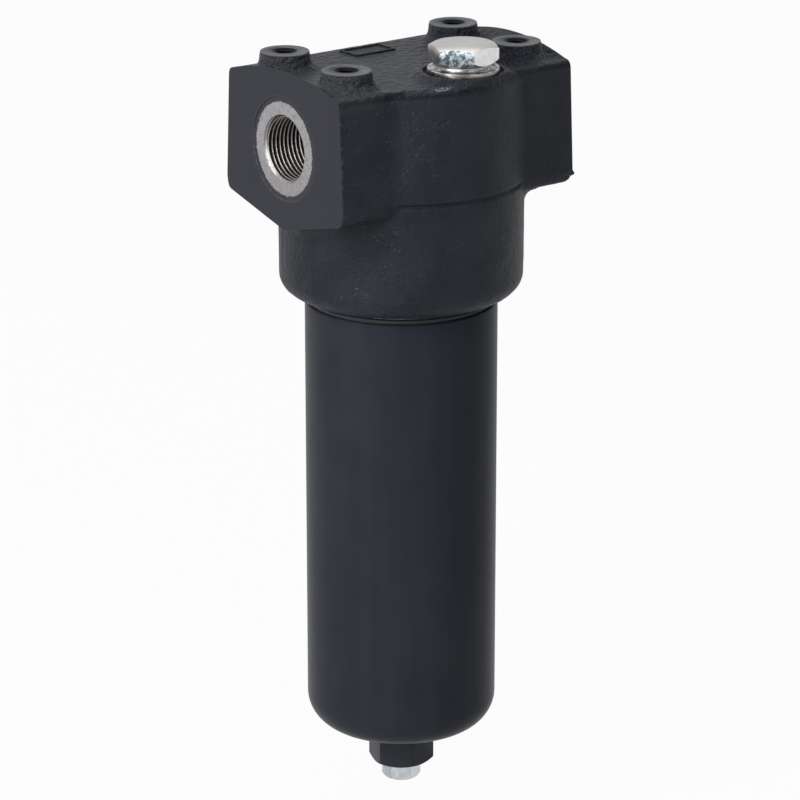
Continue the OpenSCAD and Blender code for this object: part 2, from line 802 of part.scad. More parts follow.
// Screw plug of the indicator port
module indicator_plug() {
    groove_in = indicator_thread_d / 2 + 2.2;
    z_collar = z_sink + plug_collar_h;
    z_hex = z_collar + plug_neck_h;
    neck_r = plug_af / 2 - 0.6;
    bevel = 0.4;
    nose_r = indicator_nose_d / 2;
    z_shank = z_sink - plug_shank_l;
    z_tip = z_shank - plug_nose_l;
    z_g = z_nose_step - nose_groove_drop;
    color([0.80, 0.80, 0.80]) translate([indicator_x, -indicator_y, 0]) {
        hexagon(plug_af, z_hex, plug_hex_h, plug_turn, 45, 30);
        rotate_extrude() polygon(concat([
            [0, z_tip], [nose_r - 0.8, z_tip], [nose_r, z_tip + 0.8],
            [nose_r, z_g - nose_groove_w], [nose_r - nose_groove_depth, z_g - nose_groove_w],
            [nose_r - nose_groove_depth, z_g], [nose_r, z_g], [nose_r, z_nose_step - 2],
            [nose_r - nose_groove_depth, z_nose_step - 1],
            [nose_r - nose_groove_depth, z_shank], [indicator_thread_d / 2 - 0.8, z_shank],
            [indicator_thread_d / 2, z_shank + 0.8], [indicator_thread_d / 2, z_sink],
            [groove_in, z_sink], [groove_in, z_sink + 1.6],
            [groove_in + 2.4, z_sink + 1.6], [groove_in + 2.4, z_sink],
            [plug_collar_d / 2 - bevel, z_sink], [plug_collar_d / 2, z_sink + bevel],
            [plug_collar_d / 2, z_collar - bevel], [plug_collar_d / 2 - bevel, z_collar]],
            corner([plug_collar_d / 2, z_collar], [neck_r, z_collar], [neck_r, z_hex],
                plug_neck_h - 0.3, 6),
            [[neck_r, z_hex + 0.5], [0, z_hex + 0.5]]));
    }
}

module indicator_seal() {
    groove_in = indicator_thread_d / 2 + 2.2;
    color([0.08, 0.08, 0.08]) translate([indicator_x, -indicator_y, 0])
        squeezed_ring(groove_in + seal_gap, groove_in + 2.4 - seal_gap, z_sink, z_sink + 1.6 - seal_gap);
}

module indicator_nose_seal() {
    nose_r = indicator_nose_d / 2;
    z_g = z_nose_step - nose_groove_drop;
    color([0.08, 0.08, 0.08]) translate([indicator_x, -indicator_y, 0])
        squeezed_ring(nose_r - nose_groove_depth + seal_gap, nose_r + fit_gap,
            z_g - nose_groove_w + seal_gap, z_g - seal_gap);
}

// Bowl: a deep steel cup with a screwed neck and a hexagon under its bottom
module bowl() {
    r = bowl_d / 2;
    seal_r = seal_land_d / 2;
    thread_r = thread_d / 2;
    bore_r = bowl_bore_d / 2;
    outer = concat(
        [[bore_r + 1, z_neck_top], [seal_r - 1, z_neck_top], [seal_r, z_neck_top - 1.7],
         [seal_r, z_groove_top], [seal_r - seal_groove_depth, z_groove_top],
         [seal_r - seal_groove_depth, z_groove_low], [seal_r, z_groove_low],
         [seal_r, z_thread_top + 1.2], [thread_r - 1.2, z_thread_top],
         [thread_r, z_thread_top - 1.2], [thread_r, z_thread_low],
         [neck_relief_r, z_thread_low - 1.3], [neck_relief_r, z_land],
         [land_r, z_land], [land_r, z_slit], [land_r - slit_depth, z_slit],
         [land_r - slit_depth, z_shoulder], [r - 0.6, z_shoulder], [r, z_shoulder - 0.6]],
        corner([r, z_shoulder], [r, z_bowl], [0, z_bowl], bowl_edge_r, 12),
        [[0, z_bowl]]);
    inner = concat(
        [[0, z_floor]],
        corner([0, z_floor], [bore_r, z_floor], [bore_r, z_neck_top], bowl_inner_r, 8),
        [[bore_r, z_neck_top - 1]]);
    color([0.14, 0.15, 0.18]) difference() {
        union() {
            rotate_extrude() polygon(concat(outer, inner));
            hexagon(nub_af, z_nub, nub_l + over, nub_turn, 30, 0);
        }
        translate([0, 0, z_nub - over])
            cylinder(d = drain_bore_d, h = z_floor - z_nub + 2 * over);
        translate([0, 0, z_nub - over])
            cylinder(r = drain_thread_d / 2 + fit_gap, h = drain_shank_l + 2 + over);
        translate([0, 0, z_nub - over]) cylinder(r = drain_recess_r, h = drain_recess_h + over);
    }
}

module bowl_seal() {
    seal_r = seal_land_d / 2;
    color([0.08, 0.08, 0.08])
        squeezed_ring(seal_r - seal_groove_depth + seal_gap, seal_r,
            z_groove_low + 1.6, z_groove_top - 2 * seal_gap);
}

module bowl_backup_ring() {
    seal_r = seal_land_d / 2;
    color([0.90, 0.90, 0.86])
        ring(seal_r - seal_groove_depth + seal_gap, seal_r,
            z_groove_low + seal_gap, z_groove_low + 1.5);
}

module drain_plug() {
    r = drain_thread_d / 2;
    color([0.74, 0.75, 0.77]) {
        hexagon(drain_af, z_nub - drain_hex_h, drain_hex_h, drain_turn, 30, 0);
        rotate_extrude() polygon([
            [0, z_nub - 0.01], [r, z_nub - 0.01], [r, z_nub + drain_shank_l - 1],
            [r - 1, z_nub + drain_shank_l], [0, z_nub + drain_shank_l]]);
    }
}

module drain_seal() {
    color([0.10, 0.10, 0.10])
        ring(drain_thread_d / 2 + seal_gap, drain_recess_r - 0.2,
            z_nub, z_nub + drain_recess_h - seal_gap);
}

// Top end cap: a neck that slides on the spigot and a dished plate over the pleats
module element_top_cap() {
    r = element_d / 2;
    bore = spigot_nose_d / 2 + fit_gap;
    z_g = z_cap_neck - 5;
    z_end = z_cap_neck - element_neck_l;
    color([0.66, 0.67, 0.68]) rotate_extrude() polygon([
        [bore + 0.8, z_cap_neck], [cap_neck_r - 0.8, z_cap_neck],
        [cap_neck_r, z_cap_neck - 0.8], [cap_neck_r, z_cap],
        [r - 1.5, z_cap], [r, z_cap - 1.5], [r, z_cap - cap_skirt],
        [r - cap_t, z_cap - cap_skirt], [r - cap_t, z_media_top],
        [core_d / 2 - core_t - 0.1, z_media_top], [core_d / 2 - core_t - 0.1, z_end],
        [bore, z_end], [bore, z_g - element_groove_w],
        [bore + element_groove_depth, z_g - element_groove_w],
        [bore + element_groove_depth, z_g], [bore, z_g], [bore, z_cap_neck - 0.8]]);
}

module element_seal() {
    bore = spigot_nose_d / 2 + fit_gap;
    z_g = z_cap_neck - 5;
    color([0.08, 0.08, 0.08])
        squeezed_ring(bore - fit_gap, bore + element_groove_depth - seal_gap,
            z_g - element_groove_w + seal_gap, z_g - seal_gap);
}

// Tube with staggered rows of holes between two heights
module perforated_tube(d, t, z_low, z_high, hole_d, per_row, rows) {
    step = (z_high - z_low) / rows;
    difference() {
        ring(d / 2 - t, d / 2, z_low, z_high);
        for (row = [0:rows - 1])
            for (k = [0:per_row - 1])
                rotate([0, 0, 360 * (k + 0.5 * (row % 2)) / per_row])
                    translate([d / 2 - t - over, 0, z_low + step * (row + 0.5)])
                        rotate([0, 90, 0]) cylinder(d = hole_d, h = t + 2 * over);
    }
}

module element_core() {
    color([0.62, 0.63, 0.64])
        perforated_tube(core_d, core_t, z_media_low, z_media_top, core_hole_d, 6, hole_rows);
}

module element_guard() {
    color([0.64, 0.65, 0.66])
        perforated_tube(element_d - 2 * cap_t - 0.2, guard_t, z_media_low, z_media_top,
            guard_hole_d, 10, hole_rows);
}

// One side of the folded sheet; grow moves it outwards by the sheet's thickness
function pleat_side(grow) =
    let (
        r_tip = pleat_outer_d / 2 - (1 - grow) * pleat_t,
        r_root = pleat_inner_d / 2 + grow * pleat_t,
        pitch = 360 / pleat_count,
        tip = 0.3 * pitch - (1 - grow) * deg(pleat_t / r_tip),
        root = 0.1 * pitch + (1 - grow) * deg(pleat_t / r_root))
    [for (i = [0:pleat_count - 1])
        let (a = i * pitch)
        each [
            [r_tip * cos(a - tip), r_tip * sin(a - tip)],
            [r_tip * cos(a + tip), r_tip * sin(a + tip)],
            [r_root * cos(a + pitch / 2 - root), r_root * sin(a + pitch / 2 - root)],
            [r_root * cos(a + pitch / 2 + root), r_root * sin(a + pitch / 2 + root)]]];

function deg(x) = x * 180 / PI;

// Pleated sheet, folded in and out between the core tube and the guard
module element_media() {
    color([0.86, 0.84, 0.76]) translate([0, 0, z_media_low])
        linear_extrude(z_media_top - z_media_low, convexity = 10)
            difference() {
                polygon(pleat_side(1));
                polygon(pleat_side(0));
            }
}

module element_bottom_cap() {
    r = element_d / 2;
    knob = 12;
    knob_h = 3;
    color([0.66, 0.67, 0.68]) rotate_extrude() polygon([
        [0, z_cap_low - knob_h], [knob - 1, z_cap_low - knob_h], [knob, z_cap_low - knob_h + 1],
        [knob, z_cap_low], [r - 1.5, z_cap_low], [r, z_cap_low + 1.5],
        [r, z_cap_low + cap_skirt], [r - cap_t, z_cap_low + cap_skirt],
        [r - cap_t, z_media_low], [0, z_media_low]]);
}

head_casting();
spigot();
spigot_seal();
bypass_body();
bypass_seal();
bypass_poppet();
bypass_spring();
bypass_spring_cap();
indicator_plug();
indicator_seal();
indicator_nose_seal();
bowl();
bowl_seal();
bowl_backup_ring();
drain_plug();
drain_seal();
element_top_cap();
element_seal();
element_core();
element_media();
element_guard();
element_bottom_cap();
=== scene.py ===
"""High pressure filter for a hydraulic line, dressed for the render.

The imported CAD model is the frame. The head casting, the bowl, the two screw
plugs and the bypass spring are replaced by copies of their nodes, and the
ports, the mounting holes and the bowl's neck get real threads. Every other
node keeps its CAD shape and gets a finish. All sizes are in metres, in the
frame's own axes: +Z is up and +X runs from the inlet to the outlet.
"""

import json
import logging
import math
from collections.abc import Callable, Iterator
from contextlib import contextmanager
from dataclasses import dataclass, field
from enum import Enum

import bmesh
import bpy
import numpy as np
from mathutils import Matrix, Vector

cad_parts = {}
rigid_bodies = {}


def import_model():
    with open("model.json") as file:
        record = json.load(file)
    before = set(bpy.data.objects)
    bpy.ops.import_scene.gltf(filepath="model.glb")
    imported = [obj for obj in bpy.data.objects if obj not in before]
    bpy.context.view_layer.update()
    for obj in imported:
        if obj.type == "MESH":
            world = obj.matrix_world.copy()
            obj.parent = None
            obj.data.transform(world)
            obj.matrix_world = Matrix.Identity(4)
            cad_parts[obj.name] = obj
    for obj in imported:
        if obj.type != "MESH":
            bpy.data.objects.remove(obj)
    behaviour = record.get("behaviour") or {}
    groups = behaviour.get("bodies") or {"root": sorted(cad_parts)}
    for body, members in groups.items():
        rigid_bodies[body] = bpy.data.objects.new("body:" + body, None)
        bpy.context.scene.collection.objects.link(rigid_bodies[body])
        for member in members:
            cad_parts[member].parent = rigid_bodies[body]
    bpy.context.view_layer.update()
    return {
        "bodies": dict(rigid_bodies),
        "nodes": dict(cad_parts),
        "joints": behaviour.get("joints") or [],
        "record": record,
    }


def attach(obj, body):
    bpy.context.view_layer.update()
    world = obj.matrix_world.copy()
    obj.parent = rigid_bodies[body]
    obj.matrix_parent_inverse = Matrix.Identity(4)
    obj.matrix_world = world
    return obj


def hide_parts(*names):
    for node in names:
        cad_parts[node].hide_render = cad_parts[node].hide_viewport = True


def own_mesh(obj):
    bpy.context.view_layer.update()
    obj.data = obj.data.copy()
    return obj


log = logging.getLogger("filter")

Colour = tuple[float, float, float]
Triple = tuple[float, float, float]
Span = tuple[float, float]
Piece = bpy.types.Object
Nodes = dict[str, Piece]

INLET_FACE = -0.070
OUTLET_FACE = 0.069
PORT_DEPTH = 0.0405
SEAT_DEPTH = 0.0004
INDICATOR_AT = (0.009, -0.0372)
HOLES = tuple((x, y) for x in (-0.051, 0.051) for y in (-0.025, 0.025))
FRAME_AT = (0.0025, 0.0305, -0.0085)
FRAME_SIZE = (0.0240, 0.0140, 0.0014)
FRAME_BAR = 0.0010
NECK_TOP = -0.0990
NECK_LOW = -0.1204
NECK_PITCH = 0.002
FACE_PAINT: Colour = (0.0248, 0.0258, 0.0318)
WHITE = (1.0, 1.0, 1.0, 1.0)
TOLERANCE = 1e-6
WELD = 2e-6


# ---------------------------------------------------------------- shader maths


def arithmetic(operation: str, swapped: bool = False) -> Callable[["Wire", "Number"], "Wire"]:
    """Makes a method of Wire that adds a Math node.

    Args:
        operation: What the node does with its two values.
        swapped: True where the wire stands on the right.

    Returns:
        The method.
    """

    def method(wire: "Wire", other: "Number") -> "Wire":
        """Wire with the node's result."""
        values = (other, wire) if swapped else (wire, other)
        return wire.graph.math(operation, *values)

    return method


class Wire:
    """A value that flows through a shader; arithmetic on it adds Math nodes."""

    def __init__(self, graph: "Graph", socket: bpy.types.NodeSocket) -> None:
        """Keeps the socket and the graph that it belongs to."""
        self.graph = graph
        self.socket = socket

    __add__ = arithmetic("ADD")
    __radd__ = arithmetic("ADD", swapped=True)
    __sub__ = arithmetic("SUBTRACT")
    __rsub__ = arithmetic("SUBTRACT", swapped=True)
    __mul__ = arithmetic("MULTIPLY")
    __truediv__ = arithmetic("DIVIDE")

    def __neg__(self) -> "Wire":
        """Value with its sign changed."""
        return self * -1.0

    def __abs__(self) -> "Wire":
        """Value without its sign."""
        return self.graph.math("ABSOLUTE", self)


Number = Wire | float | int
Tone = Wire | Colour


class Graph:
    """Node tree of one material or of the world."""

    def __init__(self, owner: bpy.types.Material | bpy.types.World) -> None:
        """Empties the node tree of a material or world.

        Args:
            owner: The material or the world.
        """
        owner.use_nodes = True
        self.owner = owner
        self.tree = owner.node_tree
        self.tree.nodes.clear()

    @classmethod
    def of_material(cls, name: str) -> "Graph":
        """Starts the tree of a new material."""
        return cls(bpy.data.materials.new(name))

    def node(
        self,
        kind: str,
        settings: dict[str, object] | None = None,
        inputs: dict[str | int, object] | None = None,
    ) -> bpy.types.Node:
        """Adds a node.

        Args:
            kind: The node's Blender type.
            settings: Properties to set first.
            inputs: Values or wires of its sockets, by name or number.

        Returns:
            The node.
        """
        made = self.tree.nodes.new(kind)
        for key, value in (settings or {}).items():
            setattr(made, key, value)
        for key, value in (inputs or {}).items():
            if isinstance(value, Wire):
                self.tree.links.new(value.socket, made.inputs[key])
            else:
                made.inputs[key].default_value = value
        return made

    def out(self, made: bpy.types.Node, output: str | int = 0) -> Wire:
        """Wire from one output of a node."""
        return Wire(self, made.outputs[output])

    def math(self, operation: str, *values: Number) -> Wire:
        """Wire with the result of a Math node."""
        return self.out(self.node("ShaderNodeMath", {"operation": operation}, dict(enumerate(values))))

    def vector(self, operation: str, place: Wire, other: Triple) -> Wire:
        """Wire with the result of a Vector Math node."""
        settings = {"operation": operation}
        return self.out(self.node("ShaderNodeVectorMath", settings, {0: place, 1: other}))

    def place(self) -> Wire:
        """Wire with the place on the object, in the frame's metres."""
        return self.out(self.node("ShaderNodeTexCoord"), "Object")

    def turned(self, place: Wire, angles: Triple) -> Wire:
        """Wire with a place turned round the origin by three angles in radians."""
        inputs = {"Vector": place, "Rotation": angles}
        return self.out(self.node("ShaderNodeVectorRotate", {"rotation_type": "EULER_XYZ"}, inputs))

    def split(self, place: Wire) -> tuple[Wire, Wire, Wire]:
        """Wires with the three parts of a vector."""
        made = self.node("ShaderNodeSeparateXYZ", inputs={0: place})
        return self.out(made, 0), self.out(made, 1), self.out(made, 2)

    def noise(self, place: Wire, scale: float, detail: float = 3.0, rough: float = 0.5) -> Wire:
        """Wire with soft noise from 0 to 1 whose lumps are about 1 / scale wide."""
        inputs = {"Vector": place, "Scale": scale, "Detail": detail, "Roughness": rough}
        return self.out(self.node("ShaderNodeTexNoise", inputs=inputs), 0)

    def strands(self, place: Wire, lumps: Triple, detail: float = 3.0, rough: float = 0.5) -> Wire:
        """Wire with drawn-out noise, with so many lumps in a metre along each axis."""
        return self.noise(self.vector("MULTIPLY", place, lumps), 1.0, detail, rough)

    def cells(self, place: Wire, scale: float, output: str) -> Wire:
        """Wire with the distance or the colour of random cells that are 1 / scale wide."""
        made = self.node("ShaderNodeTexVoronoi", inputs={"Vector": place, "Scale": scale})
        return self.out(made, output)

    def fade(self, value: Wire, low: float, high: float) -> Wire:
        """Wire that rises smoothly from 0 at low to 1 at high."""
        inputs = {"Value": value, "From Min": low, "From Max": high}
        return self.out(self.node("ShaderNodeMapRange", {"interpolation_type": "SMOOTHSTEP"}, inputs))

    def fall(self, value: Wire, low: float, high: float) -> Wire:
        """Wire that falls smoothly from 1 at low to 0 at high."""
        return 1.0 - self.fade(value, low, high)

    def band(self, value: Wire, centre: float, half: float, soft: float) -> Wire:
        """Wire that is 1 near a value and falls to 0 beyond half plus soft."""
        return self.fall(abs(value - centre), half, half + soft)

    def most(self, first: Wire, second: Wire) -> Wire:
        """Wire with the greater of two values."""
        return self.math("MAXIMUM", first, second)

    def reach(self, a: Wire, b: Wire) -> Wire:
        """Wire with the length of the vector a, b."""
        return self.math("SQRT", a * a + b * b)

    def screw(self, x: Wire, y: Wire, z: Wire, pitch: float) -> Wire:
        """Wire that goes from 0 in the groove to 1 on the crest of a right-hand thread round Z."""
        phase = self.math("FRACT", z / pitch - self.math("ARCTAN2", y, x) / math.tau)
        return 1.0 - abs(phase - 0.5) * 2.0

    @staticmethod
    def tint(tone: Tone) -> Wire | tuple[float, ...]:
        """Colour in the form that a socket takes."""
        return tone if isinstance(tone, Wire) else (*tone, 1.0)

    def mix(self, share: Number, first: Tone, second: Tone) -> Wire:
        """Wire with a colour between two, by a share from 0 for the first to 1 for the second."""
        inputs = {0: share, 6: self.tint(first), 7: self.tint(second)}
        return self.out(self.node("ShaderNodeMix", {"data_type": "RGBA"}, inputs), 2)

    def coats(self, tone: Tone, *layers: tuple[Number, Tone]) -> Wire:
        """Lays coats of colour over a colour.

        Args:
            tone: The colour under all coats.
            layers: Share and colour of each coat, from the lowest up.

        Returns:
            Wire with the colour that is seen.
        """
        for share, layer in layers:
            tone = self.mix(share, tone, layer)
        return tone

    def blend(self, share: Number, first: Number, second: Number) -> Wire:
        """Wire with a number between two, by a share from 0 for the first to 1 for the second."""
        inputs = {0: share, 2: first, 3: second}
        return self.out(self.node("ShaderNodeMix", {"data_type": "FLOAT"}, inputs), 0)

    def relief(self, height: Wire, depth: float, strength: float) -> Wire:
        """Wire with the normal of a surface whose height varies by depth metres."""
        inputs = {"Height": height, "Distance": depth, "Strength": strength}
        return self.out(self.node("ShaderNodeBump", inputs=inputs))

    def finish(
        self, colour: Wire, roughness: Number, metallic: Number, normal: Wire, **fixed: float
    ) -> bpy.types.Material:
        """Ends the tree in a Principled shader.

        Args:
            colour: Base colour.
            roughness: Roughness of the surface.
            metallic: 1 for bare metal.
            normal: Normal from relief.
            fixed: Sockets with one value all over, by name with _ for a space.

        Returns:
            The finished material.
        """
        inputs = {"Base Color": colour, "Roughness": roughness, "Metallic": metallic, "Normal": normal}
        inputs |= {name.replace("_", " "): value for name, value in fixed.items()}
        shader = self.node("ShaderNodeBsdfPrincipled", inputs=inputs)
        self.node("ShaderNodeOutputMaterial", inputs={"Surface": self.out(shader)})
        return self.owner


# --------------------------------------------------------------------- finishes


@dataclass(frozen=True)
class CastPaint:
    """Satin blue-black paint over sand-cast iron, with its machined faces."""

    colour: Colour = (0.0190, 0.0225, 0.0300)
    dark: Colour = (0.0112, 0.0134, 0.0182)
    top: Colour = (0.0860, 0.0900, 0.0980)
    # Light tone of the painted glints and of the painted highlights along edges.
    painted_highlight: Colour = (0.0950, 0.1120, 0.1250)
    painted_pad_light: Colour = (0.0400, 0.0430, 0.0490)
    shade: Colour = (0.0050, 0.0060, 0.0075)
    worn: Colour = (0.2600, 0.2700, 0.2900)
    bare: Colour = (0.2100, 0.2000, 0.1900)
    bore_r: float = 0.0462
    ceiling: float = -0.0660
    port_r: float = 0.0172
    rim: float = -0.1219
    upper: Span = (-0.0130, -0.0090)
    thinning: Span = (-0.0300, 0.0000)
    pad_x: Span = (0.0400, 0.0560)
    pad_z: Span = (-0.0180, -0.0100)
    worn_at: Triple = (-0.0158, -0.0532, -0.0088)

    def material(self) -> bpy.types.Material:
        """Makes the material.

        Returns:
            The paint, with cast grain, painted glints, painted highlights along edges, painted shadow
            along the frame, painted light on the inlet wing, a worn edge streak and bare bores.
        """
        g = Graph.of_material("head_paint")
        place = g.place()
        x, y, z = g.split(place)
        face_in = self._face(g, -x, -INLET_FACE)
        face_out = self._face(g, x, OUTLET_FACE)
        tops = self._face(g, z, 0.0)
        machined = g.most(g.most(face_in, face_out), tops)
        skin = 1.0 - machined
        bore = g.fall(g.reach(x, y), self.bore_r, self.bore_r + 0.0006)
        bore = bore * g.fall(z, self.ceiling, self.ceiling + 0.0008)
        port = g.fall(g.reach(y, z + PORT_DEPTH), self.port_r, self.port_r + 0.0004)
        inside = g.most(bore, port * (1.0 - face_in) * (1.0 - face_out))

        broad = g.noise(place, 45.0)
        grain = g.noise(place, 430.0, 5.0, 0.62)
        pits = g.fade(g.cells(place, 640.0, "Distance"), 0.05, 0.55)
        streaks = g.strands(place, (170.0, 520.0, 380.0), 4.0, 0.62)
        fine = g.noise(place, 1600.0, 3.0, 0.6)
        pebbles = g.noise(place, 250.0, 3.0, 0.55)
        upper = g.fade(z, *self.upper)
        height = grain * 0.6 + pits * 0.25 + streaks * 0.45
        height = height * (0.60 + upper * 1.50) + pebbles * upper * 4.2
        threaded = g.fade(z, NECK_LOW + 0.0002, NECK_LOW + 0.0004)
        threaded = threaded * g.fall(z, NECK_TOP, NECK_TOP + 0.0002) * bore
        relief = height * skin + fine * 0.05 + g.screw(x, y, z, NECK_PITCH) * threaded * 0.6

        # Painted glints: small light streaks in clusters on the cast skin, fewer towards the outlet,
        # stand in for the lamp's glints.
        clump = g.fade(g.noise(place, 85.0, 4.0, 0.65), 0.47, 0.62)
        clump = clump * (1.0 - g.fade(x, *self.thinning) * 0.75)
        leaning = g.turned(place, (0.0, 0.6, 0.0))
        painted_glints = g.fade(g.strands(leaning, (420.0, 900.0, 1500.0), 3.0, 0.6), 0.57, 0.70)
        # Painted highlight: a thin light line on the skin just behind the inlet face's edge.
        arch_highlight = g.band(x, INLET_FACE + 0.0007, 0.0003, 0.0005) * skin
        # Painted highlight: a light line along the collar's lower rim.
        rim = g.band(z, self.rim, 0.0002, 0.0003) * (0.4 + grain * 0.6)
        # Painted light: the top of the inlet wing is made lighter, as where more light falls.
        pad = g.fade(-x, *self.pad_x) * g.fade(z, *self.pad_z) * 0.85
        tone = 0.85 + broad * 0.3
        paint = g.coats(
            g.mix(g.fade(broad + grain * 0.3, 0.40, 0.85), self.dark, self.colour),
            (painted_glints * clump * skin * 0.70, self.painted_highlight),
            (arch_highlight * g.fade(grain, 0.50, 0.62) * 0.7, self.painted_highlight),
            # Painted shadow along the foot of the frame's bars.
            (self._frame_shadow(g, x, y, z) * 0.40, self.shade),
            (pad * skin, self.painted_pad_light),
            (rim * (1.0 - bore), self.painted_highlight),
            (self._rubbed(g, place) * skin, self.worn),
            (face_in * tone, FACE_PAINT),
            (face_out * tone, FACE_PAINT),
            (tops, self.top),
            (inside, self.bare),
        )
        roughness = g.blend(machined, 0.36 + grain * 0.24, 0.50 + fine * 0.10)
        normal = g.relief(relief, 0.00110, 0.9)
        return g.finish(paint, roughness, inside * 0.85, normal, Specular_IOR_Level=0.13)

    @staticmethod
    def _face(g: Graph, out: Wire, face: float) -> Wire:
        """Wire that is 1 on a machined face, by the place along its outward axis."""
        return g.fade(out, face - 0.0007, face - 0.0002)

    @staticmethod
    def _frame_shadow(g: Graph, x: Wire, y: Wire, z: Wire) -> Wire:
        """Marks the painted shadow along the raised frame on the head's top.

        Args:
            g: The material's graph.
            x: Place along the head.
            y: Place across the head.
            z: Height.

        Returns:
            Wire that is 1 in the corners along the frame's bars.
        """
        across = abs(x - FRAME_AT[0]) - (FRAME_SIZE[0] - FRAME_BAR) / 2
        along = abs(y - FRAME_AT[1]) - (FRAME_SIZE[1] - FRAME_BAR) / 2
        foot = g.band(abs(g.most(across, along)), 0.0008, 0.0002, 0.0003)
        return foot * g.fade(z, -0.0105, -0.0095) * g.fall(z, -0.0083, -0.0081)

    def _rubbed(self, g: Graph, place: Wire) -> Wire:
        """Marks the rubbed streak on the bulge's upper edge.

        Args:
            g: The material's graph.
            place: Place on the head.

        Returns:
            Wire that rises to 1 in the streak.
        """
        away = g.vector("SUBTRACT", place, self.worn_at)
        long, deep, tall = g.split(g.vector("MULTIPLY", away, (140.0, 330.0, 620.0)))
        far = g.math("SQRT", long * long + deep * deep + tall * tall)
        return g.fall(far, 0.35, 1.0) * g.fade(g.noise(place, 800.0, 3.0, 0.7), 0.42, 0.62)


@dataclass(frozen=True)
class BowlPaint:
    """Smooth satin black paint on a turned steel bowl with a bare neck."""

    colour: Colour = (0.0205, 0.0236, 0.0315)
    light: Colour = (0.0255, 0.0282, 0.0355)
    # Lighter tone of the painted light on the bowl's lowest part, as bounced up from the floor.
    low: Colour = (0.0400, 0.0430, 0.0500)
    land: Colour = (0.0480, 0.0510, 0.0560)
    speck: Colour = (0.0800, 0.0900, 0.1050)
    steel: Colour = (0.3600, 0.3550, 0.3450)
    ring: Colour = (0.2000, 0.2000, 0.2000)
    thread_root_shade: Colour = (0.0500, 0.0480, 0.0450)
    shoulder: float = -0.12460
    land_low: float = -0.12640
    floor: float = -0.3420
    bounce_light_span: Span = (-0.3560, -0.3300)
    bore_r: float = 0.0388
    groove_r: float = 0.0440

    def material(self) -> bpy.types.Material:
        """Makes the material.

        Returns:
            The paint outside, made lighter low down by painted light, with turned steel on the neck
            and in the bore and painted shade in the thread's roots.
        """
        g = Graph.of_material("bowl_paint")
        place = g.place()
        x, y, z = g.split(place)
        radius = g.reach(x, y)
        outside = g.fade(radius, self.bore_r, self.bore_r + 0.0006)
        below = g.fall(z, self.shoulder, self.shoulder + 0.0001)
        painted = below * g.most(outside, g.fall(z, self.floor, self.floor + 0.0008))
        rings = g.strands(place, (20.0, 20.0, 5200.0), 2.0)
        peel = g.noise(place, 260.0)
        mottle = g.noise(place, 30.0) + g.strands(place, (95.0, 95.0, 9.0))
        specks = g.fade(g.noise(place, 1050.0, 2.0), 0.70, 0.75)
        specks = specks * g.fade(g.noise(place, 60.0, 2.0), 0.50, 0.70)
        # Painted shade: the roots of the neck thread are darkened.
        groove = g.fade(z, NECK_LOW - 0.0001, NECK_LOW + 0.0001)
        groove = groove * g.fall(z, NECK_TOP, NECK_TOP + 0.0002) * outside
        groove = groove * g.fall(radius, self.groove_r, self.groove_r + 0.0006)
        paint = g.coats(
            g.mix(g.fade(mottle, 0.75, 1.25), self.colour, self.light),
            # Painted light: the lowest part of the bowl is made lighter, as by light from the floor
            # below.
            (g.fall(z, *self.bounce_light_span) * 0.5, self.low),
            (specks * 0.6, self.speck),
            (g.fade(z, self.land_low, self.land_low + 0.0001) * painted, self.land),
        )
        bare = g.coats(self.steel, (rings * 0.35, self.ring), (groove * 0.8, self.thread_root_shade))
        height = g.blend(painted, rings * 0.5, peel * 0.30 + g.noise(place, 1500.0, 2.0) * 0.04)
        roughness = g.blend(painted, 0.32 + rings * 0.12, 0.33 + peel * 0.06)
        normal = g.relief(height, 0.00010, 0.6)
        colour = g.mix(painted, bare, paint)
        return g.finish(colour, roughness, 1.0 - painted, normal, Specular_IOR_Level=0.05)


@dataclass(frozen=True)
class FacetPaintedLight:
    """One side of a hexagon, by the way that it faces, with painted light and shade: tones lighter or
    darker by how light falls on that side, mixed by the plating's crystals.
    """

    angle: float
    low: Colour
    high: Colour


